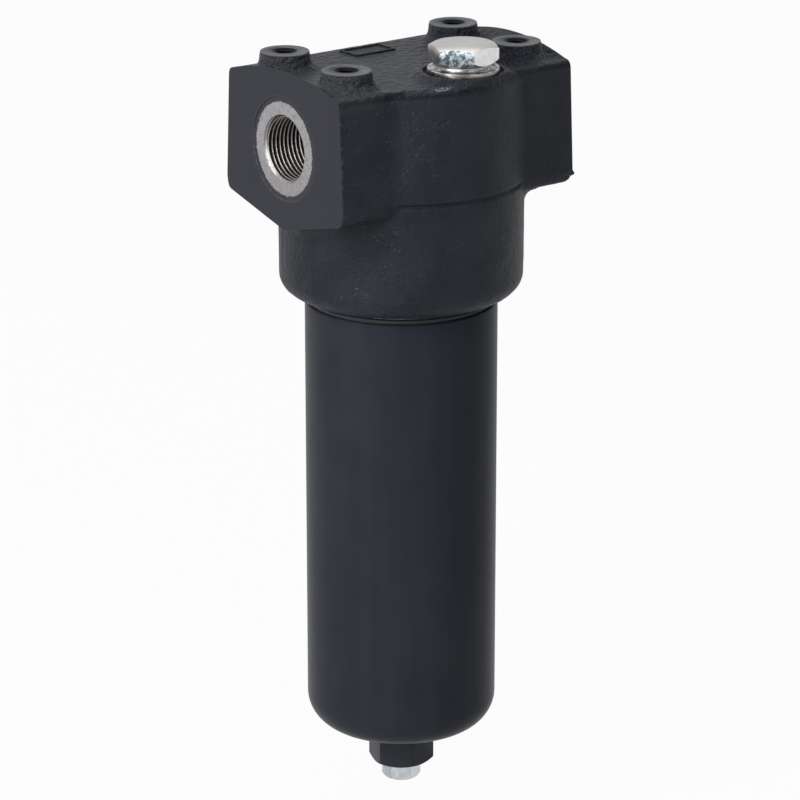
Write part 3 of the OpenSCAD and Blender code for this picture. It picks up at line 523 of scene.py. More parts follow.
@dataclass(frozen=True)
class ZincPlate:
    """Bright zinc plating with its fine crystals and a few handling marks, with light and shade
    painted on the hexagon's sides and painted reflections on the collar.
    """

    name: str = "zinc_plate"
    colour: Colour = (0.3500, 0.3430, 0.3390)
    cool: Colour = (0.3050, 0.3150, 0.3250)
    # Besides stains and handling marks, warm and dull also tint the painted reflections on the collar.
    warm: Colour = (0.4600, 0.4200, 0.2800)
    dull: Colour = (0.1200, 0.1150, 0.1050)
    roughness: float = 0.24
    centre: tuple[float, float] = INDICATOR_AT
    flat: float = 0.0150
    above: float = -0.0023
    collar: float = -0.0030
    # Painted light and shade of the hexagon's sides, by the way each faces.
    painted_facet_light: tuple[FacetPaintedLight, ...] = (
        FacetPaintedLight(160.0, (0.280, 0.280, 0.255), (0.500, 0.500, 0.470)),
        FacetPaintedLight(220.0, (0.062, 0.082, 0.096), (0.400, 0.445, 0.465)),
        FacetPaintedLight(280.0, (0.640, 0.635, 0.635), (0.740, 0.730, 0.725)),
        FacetPaintedLight(340.0, (0.110, 0.120, 0.125), (0.420, 0.430, 0.430)),
        FacetPaintedLight(100.0, (0.090, 0.090, 0.080), (0.340, 0.340, 0.320)),
    )

    def material(self) -> bpy.types.Material:
        """Makes the material.

        Returns:
            The plating, with crystals and painted light and shade on some sides, marks on top and
            painted reflections on the collar.
        """
        g = Graph.of_material(self.name)
        place = g.place()
        x, y, z = g.split(place)
        crystals = g.noise(place, 1500.0, 3.0, 0.7)
        patches = g.noise(place, 330.0, 3.0, 0.6)
        cloud = g.noise(place, 160.0, 4.0, 0.6)
        stain = g.fade(g.noise(place, 70.0, 2.0), 0.60, 0.72)
        scratch = g.fade(g.strands(place, (110.0, 900.0, 500.0), 2.0), 0.68, 0.75)
        colour = g.coats(
            self.colour,
            (g.fade(cloud, 0.45, 0.75) * 0.6, self.cool),
            (stain * 0.2, self.warm),
            (scratch * 0.35, self.dull),
        )
        grown = g.fade(crystals * 0.45 + patches * 0.65, 0.50, 0.64)
        # Painted light and shade: each side gets its own lighter or darker tones, mixed by the
        # crystals.
        for facet in self.painted_facet_light:
            way = math.radians(facet.angle)
            out = (x - self.centre[0]) * math.cos(way) + (y - self.centre[1]) * math.sin(way)
            on = g.fade(out, self.flat - 0.00012, self.flat - 0.00006)
            on = on * g.fade(z, self.above, self.above + 0.0002)
            colour = g.mix(on, colour, g.mix(grown, facet.low, facet.high))
        # Painted reflections: dark and warm streaks round the collar under the hexagon.
        rim = g.fall(z, self.collar, self.collar + 0.0002)
        collar_reflections = g.strands(place, (210.0, 210.0, 700.0), 3.0, 0.6)
        colour = g.coats(
            colour,
            (rim * g.fade(collar_reflections, 0.47, 0.56) * 0.9, self.dull),
            (rim * g.fade(1.0 - collar_reflections, 0.62, 0.68) * 0.5, self.warm),
        )
        roughness = self.roughness + crystals * 0.10 + cloud * 0.12
        normal = g.relief(crystals * 0.4 + cloud * 0.6, 0.00012, 0.5)
        return g.finish(colour, roughness, 1.0, normal)


@dataclass(frozen=True)
class TurnedSteel:
    """Turned steel, with fine rings round Z."""

    name: str = "turned_steel"
    colour: Colour = (0.4300, 0.4250, 0.4200)
    dull: Colour = (0.2000, 0.1950, 0.1900)

    def material(self) -> bpy.types.Material:
        """Makes the material.

        Returns:
            The metal, with tool marks and a few dull spots.
        """
        g = Graph.of_material(self.name)
        place = g.place()
        rings = g.strands(place, (30.0, 30.0, 5200.0), 2.0)
        cloud = g.noise(place, 130.0, 4.0, 0.6)
        spots = g.fade(g.noise(place, 330.0, 4.0, 0.65), 0.72, 0.78)
        colour = g.mix(g.fade(cloud, 0.35, 0.75) * 0.5, self.colour, self.dull)
        normal = g.relief(rings * 0.5 + cloud * 0.3, 0.00008, 0.5)
        return g.finish(colour, 0.28 + rings * 0.14 + spots * 0.25, 1.0, normal)


@dataclass(frozen=True)
class PortSeat:
    """Face of a port: bare metal round the thread, paint with a ragged edge beyond."""

    bare: Colour = (0.3450, 0.3360, 0.3450)
    worn: Colour = (0.2300, 0.2210, 0.2290)
    crest: Colour = (0.3000, 0.2920, 0.2880)
    oily: Colour = (0.1600, 0.1500, 0.1400)
    # Dark tone painted into the thread's grooves as shade.
    groove: Colour = (0.0120, 0.0100, 0.0090)
    rust: Colour = (0.3000, 0.0700, 0.0150)
    seat_highlight: Colour = (0.1700, 0.1700, 0.1800)
    bare_r: float = 0.02268
    ragged: float = 0.0036
    mouth_r: float = 0.01662
    groove_r: float = 0.01530
    edge_r: float = 0.02512

    def material(self) -> bpy.types.Material:
        """Makes the material.

        Returns:
            The thread's metal with rust specks and painted shade in its grooves, and the ring of the
            seat with a painted highlight on its edge.
        """
        g = Graph.of_material("port_seat")
        place = g.place()
        x, y, z = g.split(place)
        radius = g.reach(y, z + PORT_DEPTH)
        depth = (OUTLET_FACE - INLET_FACE) / 2 - abs(x - (OUTLET_FACE + INLET_FACE) / 2)
        edge = g.noise(place, 980.0, 3.0, 0.7) - 0.5
        painted = g.fade(radius + edge * self.ragged, self.bare_r, self.bare_r + 0.0001)
        seat = g.fade(radius, self.mouth_r, self.mouth_r + 0.00004)
        cloud = g.noise(place, 420.0, 4.0, 0.65)
        turned = g.strands(place, (9000.0, 60.0, 60.0), 2.0)
        chips = g.noise(place, 1500.0, 3.0, 0.7)
        metal = g.coats(
            self.bare,
            (g.fade(cloud * 0.6 + chips * 0.4, 0.40, 0.66), self.worn),
            (g.fade(0.0 - z, PORT_DEPTH, PORT_DEPTH + 0.0200) * 0.35, self.worn),
        )

        # Painted shade: the thread's grooves, past the first turns, are darkened nearly to black.
        low = g.fade(radius, self.groove_r, self.groove_r + 0.00030) * g.fade(depth, 0.0014, 0.0018)
        rusty = g.fade(g.noise(place, 520.0, 3.0, 0.7), 0.60, 0.66) * (1.0 - seat)
        rusty = rusty * g.fade(g.noise(place, 120.0, 2.0), 0.40, 0.55)
        # Painted highlight: a light line on the seat's outer edge, on the port's lower side.
        seat_highlight = g.band(radius, self.edge_r, 0.00006, 0.00008) * g.fade(chips, 0.40, 0.60)
        seat_highlight = seat_highlight * g.fade(y * 0.5 - z, PORT_DEPTH, PORT_DEPTH + 0.0120)
        colour = g.coats(
            self.crest,
            (g.fade(cloud, 0.42, 0.66) * 0.7, self.oily),
            (low, self.groove),
            (rusty * 0.8, self.rust),
            (seat, metal),
            (painted, FACE_PAINT),
            (seat_highlight * 0.8, self.seat_highlight),
        )
        metallic = (1.0 - painted) * (1.0 - rusty) * (1.0 - low * 0.6) * (1.0 - seat * 0.3)
        roughness = g.blend(seat, 0.38 + cloud * 0.16, 0.40 + cloud * 0.16)
        roughness = g.blend(painted, roughness, 0.55)
        normal = g.relief(cloud * 0.4 + turned * 0.15 + painted * 0.7, 0.00010, 0.7)
        return g.finish(colour, roughness, metallic, normal, Specular_IOR_Level=0.20)


@dataclass(frozen=True)
class ShadedHoleSteel:
    """Thread of a mounting hole, with paint on the slope at its mouth, both darkened nearly to black
    by painted shade, with oily patches.
    """

    # Painted shade: the slope's paint and the thread's steel are far darker than the head's paint, to
    # stand for the shade inside the hole.
    paint: Colour = (0.0060, 0.0065, 0.0075)
    steel: Colour = (0.0120, 0.0115, 0.0110)
    oil: Colour = (0.0080, 0.0070, 0.0060)

    def material(self) -> bpy.types.Material:
        """Makes the material, painted above and dark steel below, all darkened as painted shade in the
        hole.

        Returns:
            The finish of the four holes.
        """
        g = Graph.of_material("shaded_hole_steel")
        place = g.place()
        height = g.split(place)[2] + g.noise(place, 900.0, 2.0) * 0.0006
        painted = g.fade(height, -0.0010, -0.0007)
        oily = g.noise(place, 420.0)
        colour = g.coats(self.steel, (oily, self.oil), (painted, self.paint))
        metallic = (1.0 - painted) * 0.5
        normal = g.relief(oily, 0.00006, 0.5)
        return g.finish(colour, 0.38 + oily * 0.2, metallic, normal, Specular_IOR_Level=0.05)


@dataclass(frozen=True)
class Rubber:
    """Black rubber of the seal rings."""

    colour: Colour = (0.0110, 0.0110, 0.0120)
    film: Colour = (0.0200, 0.0200, 0.0220)

    def material(self) -> bpy.types.Material:
        """Makes the material, dull and faintly oily.

        Returns:
            The finish of the seal rings.
        """
        g = Graph.of_material("seal_rubber")
        place = g.place()
        film = g.noise(place, 220.0)
        normal = g.relief(g.noise(place, 2600.0, 3.0, 0.6), 0.00005, 0.5)
        return g.finish(g.mix(film, self.colour, self.film), 0.38 + film * 0.25, 0.0, normal)


@dataclass(frozen=True)
class Plastic:
    """Off-white plastic of the backup ring."""

    colour: Colour = (0.7600, 0.7500, 0.7000)
    stain: Colour = (0.6600, 0.6400, 0.5700)

    def material(self) -> bpy.types.Material:
        """Makes the material, slightly waxy.

        Returns:
            The finish of the backup ring.
        """
        g = Graph.of_material("backup_plastic")
        place = g.place()
        cloud = g.noise(place, 140.0)
        colour = g.mix(cloud * 0.5, self.colour, self.stain)
        normal = g.relief(g.strands(place, (40.0, 40.0, 4200.0), 2.0), 0.00005, 0.4)
        return g.finish(colour, 0.42 + cloud * 0.1, 0.0, normal)


@dataclass(frozen=True)
class SheetMetal:
    """Zinc-dipped sheet of the element's caps and tubes."""

    colour: Colour = (0.5200, 0.5250, 0.5300)
    dark: Colour = (0.3800, 0.4000, 0.4200)

    def material(self) -> bpy.types.Material:
        """Makes the material, with the flat crystals of dipped zinc.

        Returns:
            The finish of the caps and tubes.
        """
        g = Graph.of_material("cap_sheet")
        place = g.place()
        flakes = g.split(g.cells(place, 190.0, "Color"))[0]
        cloud = g.noise(place, 90.0, 4.0, 0.6)
        colour = g.mix(flakes * 0.5, self.colour, self.dark)
        roughness = 0.30 + flakes * 0.16 + cloud * 0.10
        return g.finish(colour, roughness, 1.0, g.relief(flakes + cloud, 0.00006, 0.4))


@dataclass(frozen=True)
class FilterSheet:
    """Resin-bonded fibre sheet of the pleats."""

    colour: Colour = (0.7400, 0.6900, 0.5400)
    fibre: Colour = (0.6000, 0.5400, 0.4000)
    resin: Colour = (0.6600, 0.6000, 0.4600)

    def material(self) -> bpy.types.Material:
        """Makes the material, with short fibres and a faint support mesh.

        Returns:
            The finish of the pleats.
        """
        g = Graph.of_material("media")
        place = g.place()
        fibres = g.strands(place, (2400.0, 2400.0, 420.0), 4.0, 0.7)
        cloud = g.noise(place, 70.0)
        wires = g.fade(g.math("SINE", g.split(place)[2] * 4200.0), 0.75, 0.98)
        fibrous = g.fade(fibres, 0.3, 0.8) * 0.6
        colour = g.coats(self.colour, (fibrous, self.fibre), (cloud * 0.3, self.resin))
        return g.finish(colour, 0.85, 0.0, g.relief(fibres * 0.6 + wires * 0.5, 0.00012, 0.7))


# --------------------------------------------------------------------- workbench


class Bench:
    """Ways of working on one object at a time, as by hand."""

    @staticmethod
    def alone(piece: Piece) -> None:
        """Selects one object and nothing else.

        Args:
            piece: The object to select.
        """
        for other in bpy.context.view_layer.objects:
            other.select_set(False)
        piece.select_set(True)
        bpy.context.view_layer.objects.active = piece

    @staticmethod
    @contextmanager
    def editing(piece: Piece, select: str = "DESELECT") -> Iterator[bmesh.types.BMesh]:
        """Opens a piece in edit mode, and closes it after.

        Args:
            piece: The object to edit.
            select: SELECT to start with all selected, DESELECT with nothing.

        Yields:
            The mesh in edit mode, for as long as the block runs.
        """
        Bench.alone(piece)
        bpy.ops.object.mode_set(mode="EDIT")
        bpy.ops.mesh.select_mode(type="VERT")
        bpy.ops.mesh.select_all(action=select)
        yield bmesh.from_edit_mesh(piece.data)
        bpy.ops.object.mode_set(mode="OBJECT")

    @staticmethod
    def modify(piece: Piece, kind: str, **settings: object) -> None:
        """Adds a modifier with its settings and applies it.

        Args:
            piece: The object to change.
            kind: The modifier's type.
            settings: Its properties.
        """
        Bench.alone(piece)
        made = piece.modifiers.new(kind.lower(), kind)
        for key, value in settings.items():
            setattr(made, key, value)
        bpy.ops.object.modifier_apply(modifier=made.name)

    @staticmethod
    def copy_node(node: Piece, name: str) -> Piece:
        """Copies a CAD node as a closed mesh of its own.

        Args:
            node: The node to copy.
            name: Name of the copy.

        Returns:
            The copy, with its double vertices merged and its flat faces whole.
        """
        piece = bpy.data.objects.new(name, node.data.copy())
        bpy.context.scene.collection.objects.link(piece)
        piece.data.materials.clear()
        with Bench.editing(piece, "SELECT"):
            bpy.ops.mesh.customdata_custom_splitnormals_clear()
            bpy.ops.mesh.remove_doubles(threshold=TOLERANCE)
        return piece

    @staticmethod
    def twin(piece: Piece, name: str) -> Piece:
        """Makes a second piece like one that is there.

        Args:
            piece: The piece to copy.
            name: Name of the copy.

        Returns:
            The copy, with a mesh of its own.
        """
        second = piece.copy()
        second.data = piece.data.copy()
        second.name = name
        bpy.context.scene.collection.objects.link(second)
        return second

    @staticmethod
    def cube(name: str) -> Piece:
        """Makes a cube of one metre at the origin, to be shaped.

        Args:
            name: Name of the piece.

        Returns:
            The cube.
        """
        bpy.ops.object.select_all(action="DESELECT")
        bpy.ops.mesh.primitive_cube_add(size=1.0)
        bpy.context.object.name = name
        return bpy.context.object

    @staticmethod
    def cutter(radius: float, low: Triple, high: Triple) -> Piece:
        """Makes a round cutter between two points.

        Args:
            radius: Radius of the cutter.
            low: Middle of one end.
            high: Middle of the other end.

        Returns:
            The cutter.
        """
        way = Vector(high) - Vector(low)
        bpy.ops.object.select_all(action="DESELECT")
        bpy.ops.mesh.primitive_cylinder_add(
            vertices=128,
            radius=radius,
            depth=way.length,
            location=(Vector(low) + Vector(high)) / 2,
            rotation=way.to_track_quat("Z", "Y").to_euler(),
        )
        return bpy.context.object

    @staticmethod
    def cut(piece: Piece, cutter: Piece) -> None:
        """Takes a cutter out of a piece and throws the cutter away."""
        Bench.modify(piece, "BOOLEAN", operation="DIFFERENCE", solver="EXACT", object=cutter)
        bpy.data.objects.remove(cutter)

    @staticmethod
    def shade(piece: Piece, angle: float) -> None:
        """Shades a piece smooth, but for edges sharper than an angle in degrees."""
        Bench.alone(piece)
        bpy.ops.object.shade_smooth_by_angle(angle=math.radians(angle))

    @staticmethod
    def ease_edges(piece: Piece, width: float) -> None:
        """Rounds the sharp edges of a piece and shades it smooth between them.

        Args:
            piece: The object to change.
            width: Width of the rounded edge.
        """
        with Bench.editing(piece, "SELECT"):
            bpy.ops.mesh.dissolve_limited(angle_limit=math.radians(0.6))
        sharp = math.radians(35.0)
        Bench.modify(piece, "BEVEL", width=width, segments=2, limit_method="ANGLE", angle_limit=sharp)
        Bench.shade(piece, angle=32.0)

    @staticmethod
    def set_down(piece: Piece, matrix: Matrix) -> None:
        """Puts a piece in place through its mesh, so that its object stays at the origin."""
        piece.data.transform(matrix)
        piece.matrix_world = Matrix.Identity(4)


def dress(piece: Piece, material: bpy.types.Material) -> None:
    """Gives a piece or a CAD node one material."""
    piece.data.materials.clear()
    piece.data.materials.append(material)


# -------------------------------------------------------------------- the pieces


@dataclass
class Thread:
    """Sleeve with an inner thread, its turns cut back by a chamfer at the mouth."""

    name: str
    core_r: float
    major_r: float
    pitch: float
    length: float
    face_r: float
    mouth_r: float = 0.0
    lip: float = 0.0
    lip_r: float = 0.0
    back: float = 0.0004
    slope: float = 0.001
    rise: float = 0.00008
    steps: int = 96

    def profile(self) -> list[tuple[float, float]]:
        """Gives one turn of the thread.

        Returns:
            Radius and height along one pitch, from groove to groove.
        """
        p, low, high = self.pitch, self.core_r, self.major_r
        soft = (high - low) * 0.14
        return [
            (high, 0.0),
            (high - soft, p * 0.09),
            (low + soft, p * 0.37),
            (low, p * 0.44),
            (low, p * 0.56),
            (low + soft, p * 0.63),
            (high - soft, p * 0.91),
            (high, p),
        ]

    def build(self) -> Piece:
        """Models the sleeve with its mouth at the origin, running down -Z.

        Returns:
            The closed sleeve.
        """
        piece = self._wind()
        with Bench.editing(piece, "SELECT") as sketch:
            bpy.ops.mesh.remove_doubles(threshold=WELD)
            wall_r = self._mouth(sketch)
            bpy.ops.mesh.select_all(action="SELECT")
            self._trim(-self.length, False)
            self._spread(sketch, wall_r, -self.length)
            for vert in sketch.verts:
                vert.select_set(abs(math.hypot(vert.co.x, vert.co.y) - wall_r) < WELD)
            sketch.select_flush(True)
            bpy.ops.mesh.bridge_edge_loops()
            bpy.ops.mesh.select_all(action="SELECT")
            bpy.ops.mesh.remove_doubles(threshold=TOLERANCE)
            bpy.ops.mesh.normals_make_consistent(inside=False)
        Bench.shade(piece, angle=38.0)
        return piece

    def _wind(self) -> Piece:
        """Winds the profile round Z, a turn longer at both ends than is needed.

        Returns:
            The bare turns, still open, from above the origin down.
        """
        points = self.profile()
        bpy.ops.object.select_all(action="DESELECT")
        bpy.ops.mesh.primitive_grid_add(x_subdivisions=len(points) - 1, y_subdivisions=1)
        piece = bpy.context.object
        piece.name = self.name
        with Bench.editing(piece) as sketch:
            for vert in sketch.verts:
                vert.select_set(vert.co.y > 0.0)
            bpy.ops.mesh.delete(type="VERT")
            row = sorted(sketch.verts, key=lambda vert: vert.co.x)
            for vert, (radius, height) in zip(row, points, strict=True):
                vert.co = Vector((radius, 0.0, height))
        turns = math.ceil(self.length / self.pitch) + 2
        Bench.modify(
            piece,
            "SCREW",
            screw_offset=self.pitch,
            iterations=turns,
            steps=self.steps,
            render_steps=self.steps,
            use_merge_vertices=True,
            merge_threshold=TOLERANCE,
        )
        Bench.set_down(piece, Matrix.Translation((0.0, 0.0, -(turns - 0.5) * self.pitch)))
        return piece

    def _mouth(self, sketch: bmesh.types.BMesh) -> float:
        """Shapes the mouth: the chamfer, the flat ring round it and the step to the wall.

        Args:
            sketch: The mesh in edit mode.

        Returns:
            Radius of the sleeve's plain outer wall.
        """
        self._trim(0.0, True)
        self._chamfer(sketch, lambda radius, height: max(radius, self.mouth_r + height))
        wall_r = max(self.mouth_r, self.major_r) + self.back
        outer = self.lip_r or self.face_r
        self._spread(sketch, self.face_r, 0.0)
        if self.lip:
            self._spread(sketch, self.face_r + self.rise, self.lip)
            self._spread(sketch, outer, self.lip)
        self._spread(sketch, outer, -self.back)
        self._spread(sketch, wall_r, -self.back - self.slope)
        return wall_r

    @staticmethod
    def _chamfer(sketch: bmesh.types.BMesh, wanted: Callable[[float, float], float]) -> None:
        """Moves each vertex to the radius that a rule gives.

        Args:
            sketch: The mesh in edit mode.
            wanted: Gives the new radius, from the radius and the height.
        """
        for vert in sketch.verts:
            radius = math.hypot(vert.co.x, vert.co.y)
            share = wanted(radius, vert.co.z) / radius
            vert.co.x *= share
            vert.co.y *= share

    @staticmethod
    def _trim(height: float, above: bool) -> None:
        """Cuts what is selected at a height, and leaves the cut's edge selected.

        Args:
            height: Height of the cut.
            above: True to throw away what is above it, else what is below.
        """
        bpy.ops.mesh.bisect(
            plane_co=(0.0, 0.0, height),
            plane_no=(0.0, 0.0, 1.0),
            clear_outer=above,
            clear_inner=not above,
            threshold=1e-7,
        )

    @staticmethod
    def _spread(sketch: bmesh.types.BMesh, radius: float, height: float) -> None:
        """Extrudes the selected loop to a radius and a height.

        Args:
            sketch: The mesh in edit mode.
            radius: Radius of the new loop.
            height: Height of the new loop.
        """
        bpy.ops.mesh.extrude_edges_move()
        for vert in sketch.verts:
            if vert.select:
                share = radius / math.hypot(vert.co.x, vert.co.y)
                vert.co = Vector((vert.co.x * share, vert.co.y * share, height))


@dataclass
class NeckThread(Thread):
    """Sleeve with an outer thread, its turns cut back at both ends, and a bore of face_r."""

    def _mouth(self, sketch: bmesh.types.BMesh) -> float:
        """Shapes the upper end: the chamfers of both ends and the step to the bore.

        Args:
            sketch: The mesh in edit mode.

        Returns:
            Radius of the sleeve's plain bore.
        """
        self._chamfer(sketch, self._outside)
        self._trim(0.0, True)
        self._spread(sketch, self.face_r, 0.0)
        return self.face_r

    def _outside(self, radius: float, height: float) -> float:
        """Radius that the chamfers of both ends leave at a height."""
        return min(radius, self.core_r + max(min(-height, height + self.length), 0.0))


class Axis(Enum):
    """Axis that a machined face lies across, by its number in a vector."""

    X = 0
    Z = 2


@dataclass
class Part:
    """Part of the filter, with the pieces that are modelled for it."""

    made: list[Piece] = field(default_factory=list)


@dataclass
class HeadCasting(Part):
    """Cast head: a softened copy of its node, with threads in ports and holes."""

    voxel: float = 0.0007
    soften: int = 4
    lumps: float = 0.00032
    faces: int = 180000
    raw: float = 0.0018
    inset: float = 0.00003
    machined: tuple[tuple[Axis, float], ...] = (
        (Axis.X, INLET_FACE),
        (Axis.X, OUTLET_FACE),
        (Axis.Z, 0.0),
    )
    port_bore_r: float = 0.01715
    port_thread: float = 0.022
    seat_room: float = 0.0020
    seat_room_r: float = 0.0254
    hole_bore_r: float = 0.00585
    hole_thread: float = 0.0185
    hole_gap: float = 0.0001
    overshoot: float = 0.001
    on_face: float = 2e-5
    lump_size: float = 0.0075
    skin_low: float = -0.1215
    skin_depth: float = 0.0050
    clear_port_r: float = 0.0176
    clear_bore_r: float = 0.0472
    bore_top: float = -0.040
    clear_plug_r: float = 0.0198
    clear_hole_r: float = 0.0062
    frame_edge: float = 0.0003
    flash_at: Triple = (0.0686, -0.0470, -0.0637)
    flash_size: Triple = (0.0060, 0.0026, 0.0030)
    flash_root: float = 0.10
    flash_taper: float = 0.88
    flash_heel: float = 0.0012
    flash_drop: float = 0.0004

    def build(self, nodes: Nodes) -> None:
        """Models the casting and its threads.

        Args:
            nodes: The CAD nodes by name.
        """
        cast = Bench.copy_node(nodes["head_casting"], "head_cast")
        self._open_bores(cast)
        self._soften(cast)
        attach(cast, "head")
        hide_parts("head_casting")
        paint = CastPaint().material()
        dress(cast, paint)
        self.made.append(cast)
        self._ports()
        self._holes()
        self._add(self._flash(), paint)
        self._add(self._raised_frame(), paint)

    def _open_bores(self, cast: Piece) -> None:
        """Widens the ports and mounting holes for the threaded sleeves.

        Args:
            cast: The casting.
        """
        for face, way in ((INLET_FACE, 1.0), (OUTLET_FACE, -1.0)):
            mouth = (face - way * self.overshoot, 0.0, -PORT_DEPTH)
            end = (face + way * (SEAT_DEPTH + self.port_thread), 0.0, -PORT_DEPTH)
            under = (face + way * self.seat_room, 0.0, -PORT_DEPTH)
            Bench.cut(cast, Bench.cutter(self.seat_room_r, under, mouth))
            Bench.cut(cast, Bench.cutter(self.port_bore_r, end, mouth))
        for x, y in HOLES:
            low = (x, y, -self.hole_thread)
            Bench.cut(cast, Bench.cutter(self.hole_bore_r, low, (x, y, self.overshoot)))

    def _soften(self, cast: Piece) -> None:
        """Gives the casting the soft edges and uneven skin of sand-cast iron.

        Args:
            cast: The casting.
        """
        for axis, face in self.machined:
            self._draw_out(cast, axis.value, face)
        Bench.modify(cast, "REMESH", mode="VOXEL", voxel_size=self.voxel, use_smooth_shade=True)
        Bench.modify(cast, "SMOOTH", factor=0.5, iterations=self.soften)
        self._mark_skin(cast)
        texture = bpy.data.textures.new("cast_lumps", "CLOUDS")
        texture.noise_scale = self.lump_size
        texture.noise_depth = 2
        Bench.modify(
            cast,
            "DISPLACE",
            texture=texture,
            texture_coords="LOCAL",
            strength=self.lumps,
            mid_level=1.0,
            vertex_group="skin",
        )
        cast.vertex_groups.clear()
        cast.data.calc_loop_triangles()
        ratio = min(1.0, self.faces / len(cast.data.loop_triangles))
        Bench.modify(cast, "DECIMATE", decimate_type="COLLAPSE", ratio=ratio)
        for axis, face in self.machined:
            self._face_off(cast, axis.value, face)
        Bench.alone(cast)
        bpy.ops.object.shade_smooth()
        Bench.modify(cast, "WEIGHTED_NORMAL", weight=50)

    def _draw_out(self, cast: Piece, axis: int, face: float) -> None:
        """Lengthens the casting at a machined face, as raw iron to be cut away.

        Args:
            cast: The casting.
            axis: Number of the axis that the face lies across.
            face: Where the face lies on that axis.
        """
        with Bench.editing(cast) as sketch:
            for vert in sketch.verts:
                vert.select_set(abs(vert.co[axis] - face) < self.on_face)
            sketch.select_flush(True)
            bpy.ops.mesh.extrude_region_move()
            for vert in sketch.verts:
                if vert.select:
                    vert.co[axis] += self._way(face) * self.raw

    def _face_off(self, cast: Piece, axis: int, face: float) -> None:
        """Cuts a machined face flat, just behind the faces of the sleeves.

        Args:
            cast: The casting.
            axis: Number of the axis that the face lies across.
            face: Where the face lies on that axis.
        """
        normal = Vector((0.0, 0.0, 0.0))
        normal[axis] = self._way(face)
        plane = normal * (abs(face) - self.inset)
        with Bench.editing(cast, "SELECT"):
            bpy.ops.mesh.bisect(plane_co=plane, plane_no=normal, clear_outer=True, threshold=TOLERANCE)
            bpy.ops.mesh.fill(use_beauty=True)

    @staticmethod
    def _way(face: float) -> float:
        """Way that a machined face looks along its axis, up for the boss tops at 0."""
        return -1.0 if face < 0.0 else 1.0

    def _mark_skin(self, cast: Piece) -> None:
        """Marks the cast skin, and leaves out the machined faces and bores.

        Args:
            cast: The casting.
        """
        places = np.zeros(len(cast.data.vertices) * 3, np.float32)
        cast.data.vertices.foreach_get("co", places)
        x, y, z = places.reshape(-1, 3).T
        clear = (z > self.skin_low) & (np.hypot(y, z + PORT_DEPTH) > self.clear_port_r)
        clear &= (np.hypot(x, y) > self.clear_bore_r) | (z > self.bore_top)
        clear &= np.hypot(x - INDICATOR_AT[0], y - INDICATOR_AT[1]) > self.clear_plug_r
        for hole_x, hole_y in HOLES:
            clear &= np.hypot(x - hole_x, y - hole_y) > self.clear_hole_r
        group = cast.vertex_groups.new(name="skin")
        deep = np.minimum(np.minimum(x - INLET_FACE, OUTLET_FACE - x), -z)
        for share in (0.2, 0.4, 0.6, 0.8, 1.0):
            within = clear & (deep > self.skin_depth * share)
            group.add(np.flatnonzero(within).tolist(), share, "REPLACE")

    def _ports(self) -> None:
        """Fits a threaded sleeve with its bare seat into each port."""
        finish = PortSeat().material()
        first = Thread(
            "inlet_thread",
            core_r=0.01515,
            major_r=0.01665,
            pitch=0.002309,
            length=self.port_thread,
            face_r=0.02515,
            mouth_r=0.01665,
            lip=SEAT_DEPTH,
            lip_r=0.0262,
        ).build()
        second = Bench.twin(first, "outlet_thread")
        seats = ((first, INLET_FACE + SEAT_DEPTH, -90.0), (second, OUTLET_FACE - SEAT_DEPTH, 90.0))
        for sleeve, x, turn in seats:
            place = Matrix.Translation((x, 0.0, -PORT_DEPTH))
            Bench.set_down(sleeve, place @ Matrix.Rotation(math.radians(turn), 4, "Y"))
            self._add(sleeve, finish)

    def _holes(self) -> None:
        """Fits a threaded sleeve into each mounting hole."""
        finish = ShadedHoleSteel().material()
        pattern = Thread(
            "hole_thread",
            core_r=0.00425,
            major_r=0.00502,
            pitch=0.0015,
            length=self.hole_thread - self.hole_gap,
            face_r=0.00600,
            mouth_r=0.00550,
            back=0.0002,
            steps=48,
        ).build()
        for number, (x, y) in enumerate(HOLES, start=1):
            sleeve = Bench.twin(pattern, f"mounting_thread_{number}")
            Bench.set_down(sleeve, Matrix.Translation((x, y, 0.0)))
            self._add(sleeve, finish)
        bpy.data.objects.remove(pattern)

    def _flash(self) -> Piece:
        """Models the thin flash that sticks out at the outlet's parting line.

        Returns:
            The flash, thick at the casting and drawn out to a point.
        """
        flash = Bench.cube("parting_flash")
        long, wide, tall = self.flash_size
        x, y, z = self.flash_at
        with Bench.editing(flash) as sketch:
            for vert in sketch.verts:
                end = vert.co.x + 0.5
                out = 0.5 - vert.co.y
                reach = out * wide * (self.flash_root + (1.0 - self.flash_root) * end)
                half = tall * (1.0 - self.flash_taper * out)
                vert.co = Vector((
                    x - long * (1.0 - end),
                    y + self.flash_heel * (1.0 - out) - reach,
                    z + 2.0 * vert.co.z * half - self.flash_drop * out,
                ))
            bpy.ops.mesh.select_all(action="SELECT")
            bpy.ops.mesh.subdivide(number_cuts=3)
            bpy.ops.mesh.vertices_smooth(factor=0.5, repeat=1)
            bpy.ops.mesh.normals_make_consistent(inside=False)
        Bench.alone(flash)
        bpy.ops.object.shade_smooth()
        return flash

    def _raised_frame(self) -> Piece:
        """Models the cast frame on the head's top, which stays empty.

        Returns:
            The frame, with its inner and outer edges rounded.
        """
        frame = Bench.cube("cast_frame")
        with Bench.editing(frame) as sketch:
            for face in sketch.faces:
                face.select_set(abs(face.normal.z) > 0.5)
            for vert in sketch.verts:
                vert.co = Vector([part * size for part, size in zip(vert.co, FRAME_SIZE)])
            bpy.ops.mesh.select_mode(type="FACE")
            bpy.ops.mesh.inset(thickness=FRAME_BAR, use_individual=True)
            bpy.ops.mesh.bridge_edge_loops()
            bpy.ops.mesh.select_all(action="SELECT")
            bpy.ops.mesh.subdivide(number_cuts=4)
            bpy.ops.mesh.normals_make_consistent(inside=False)
        Bench.modify(frame, "BEVEL", width=self.frame_edge, segments=2)
        Bench.shade(frame, angle=50.0)
        Bench.set_down(frame, Matrix.Translation(FRAME_AT))
        return frame

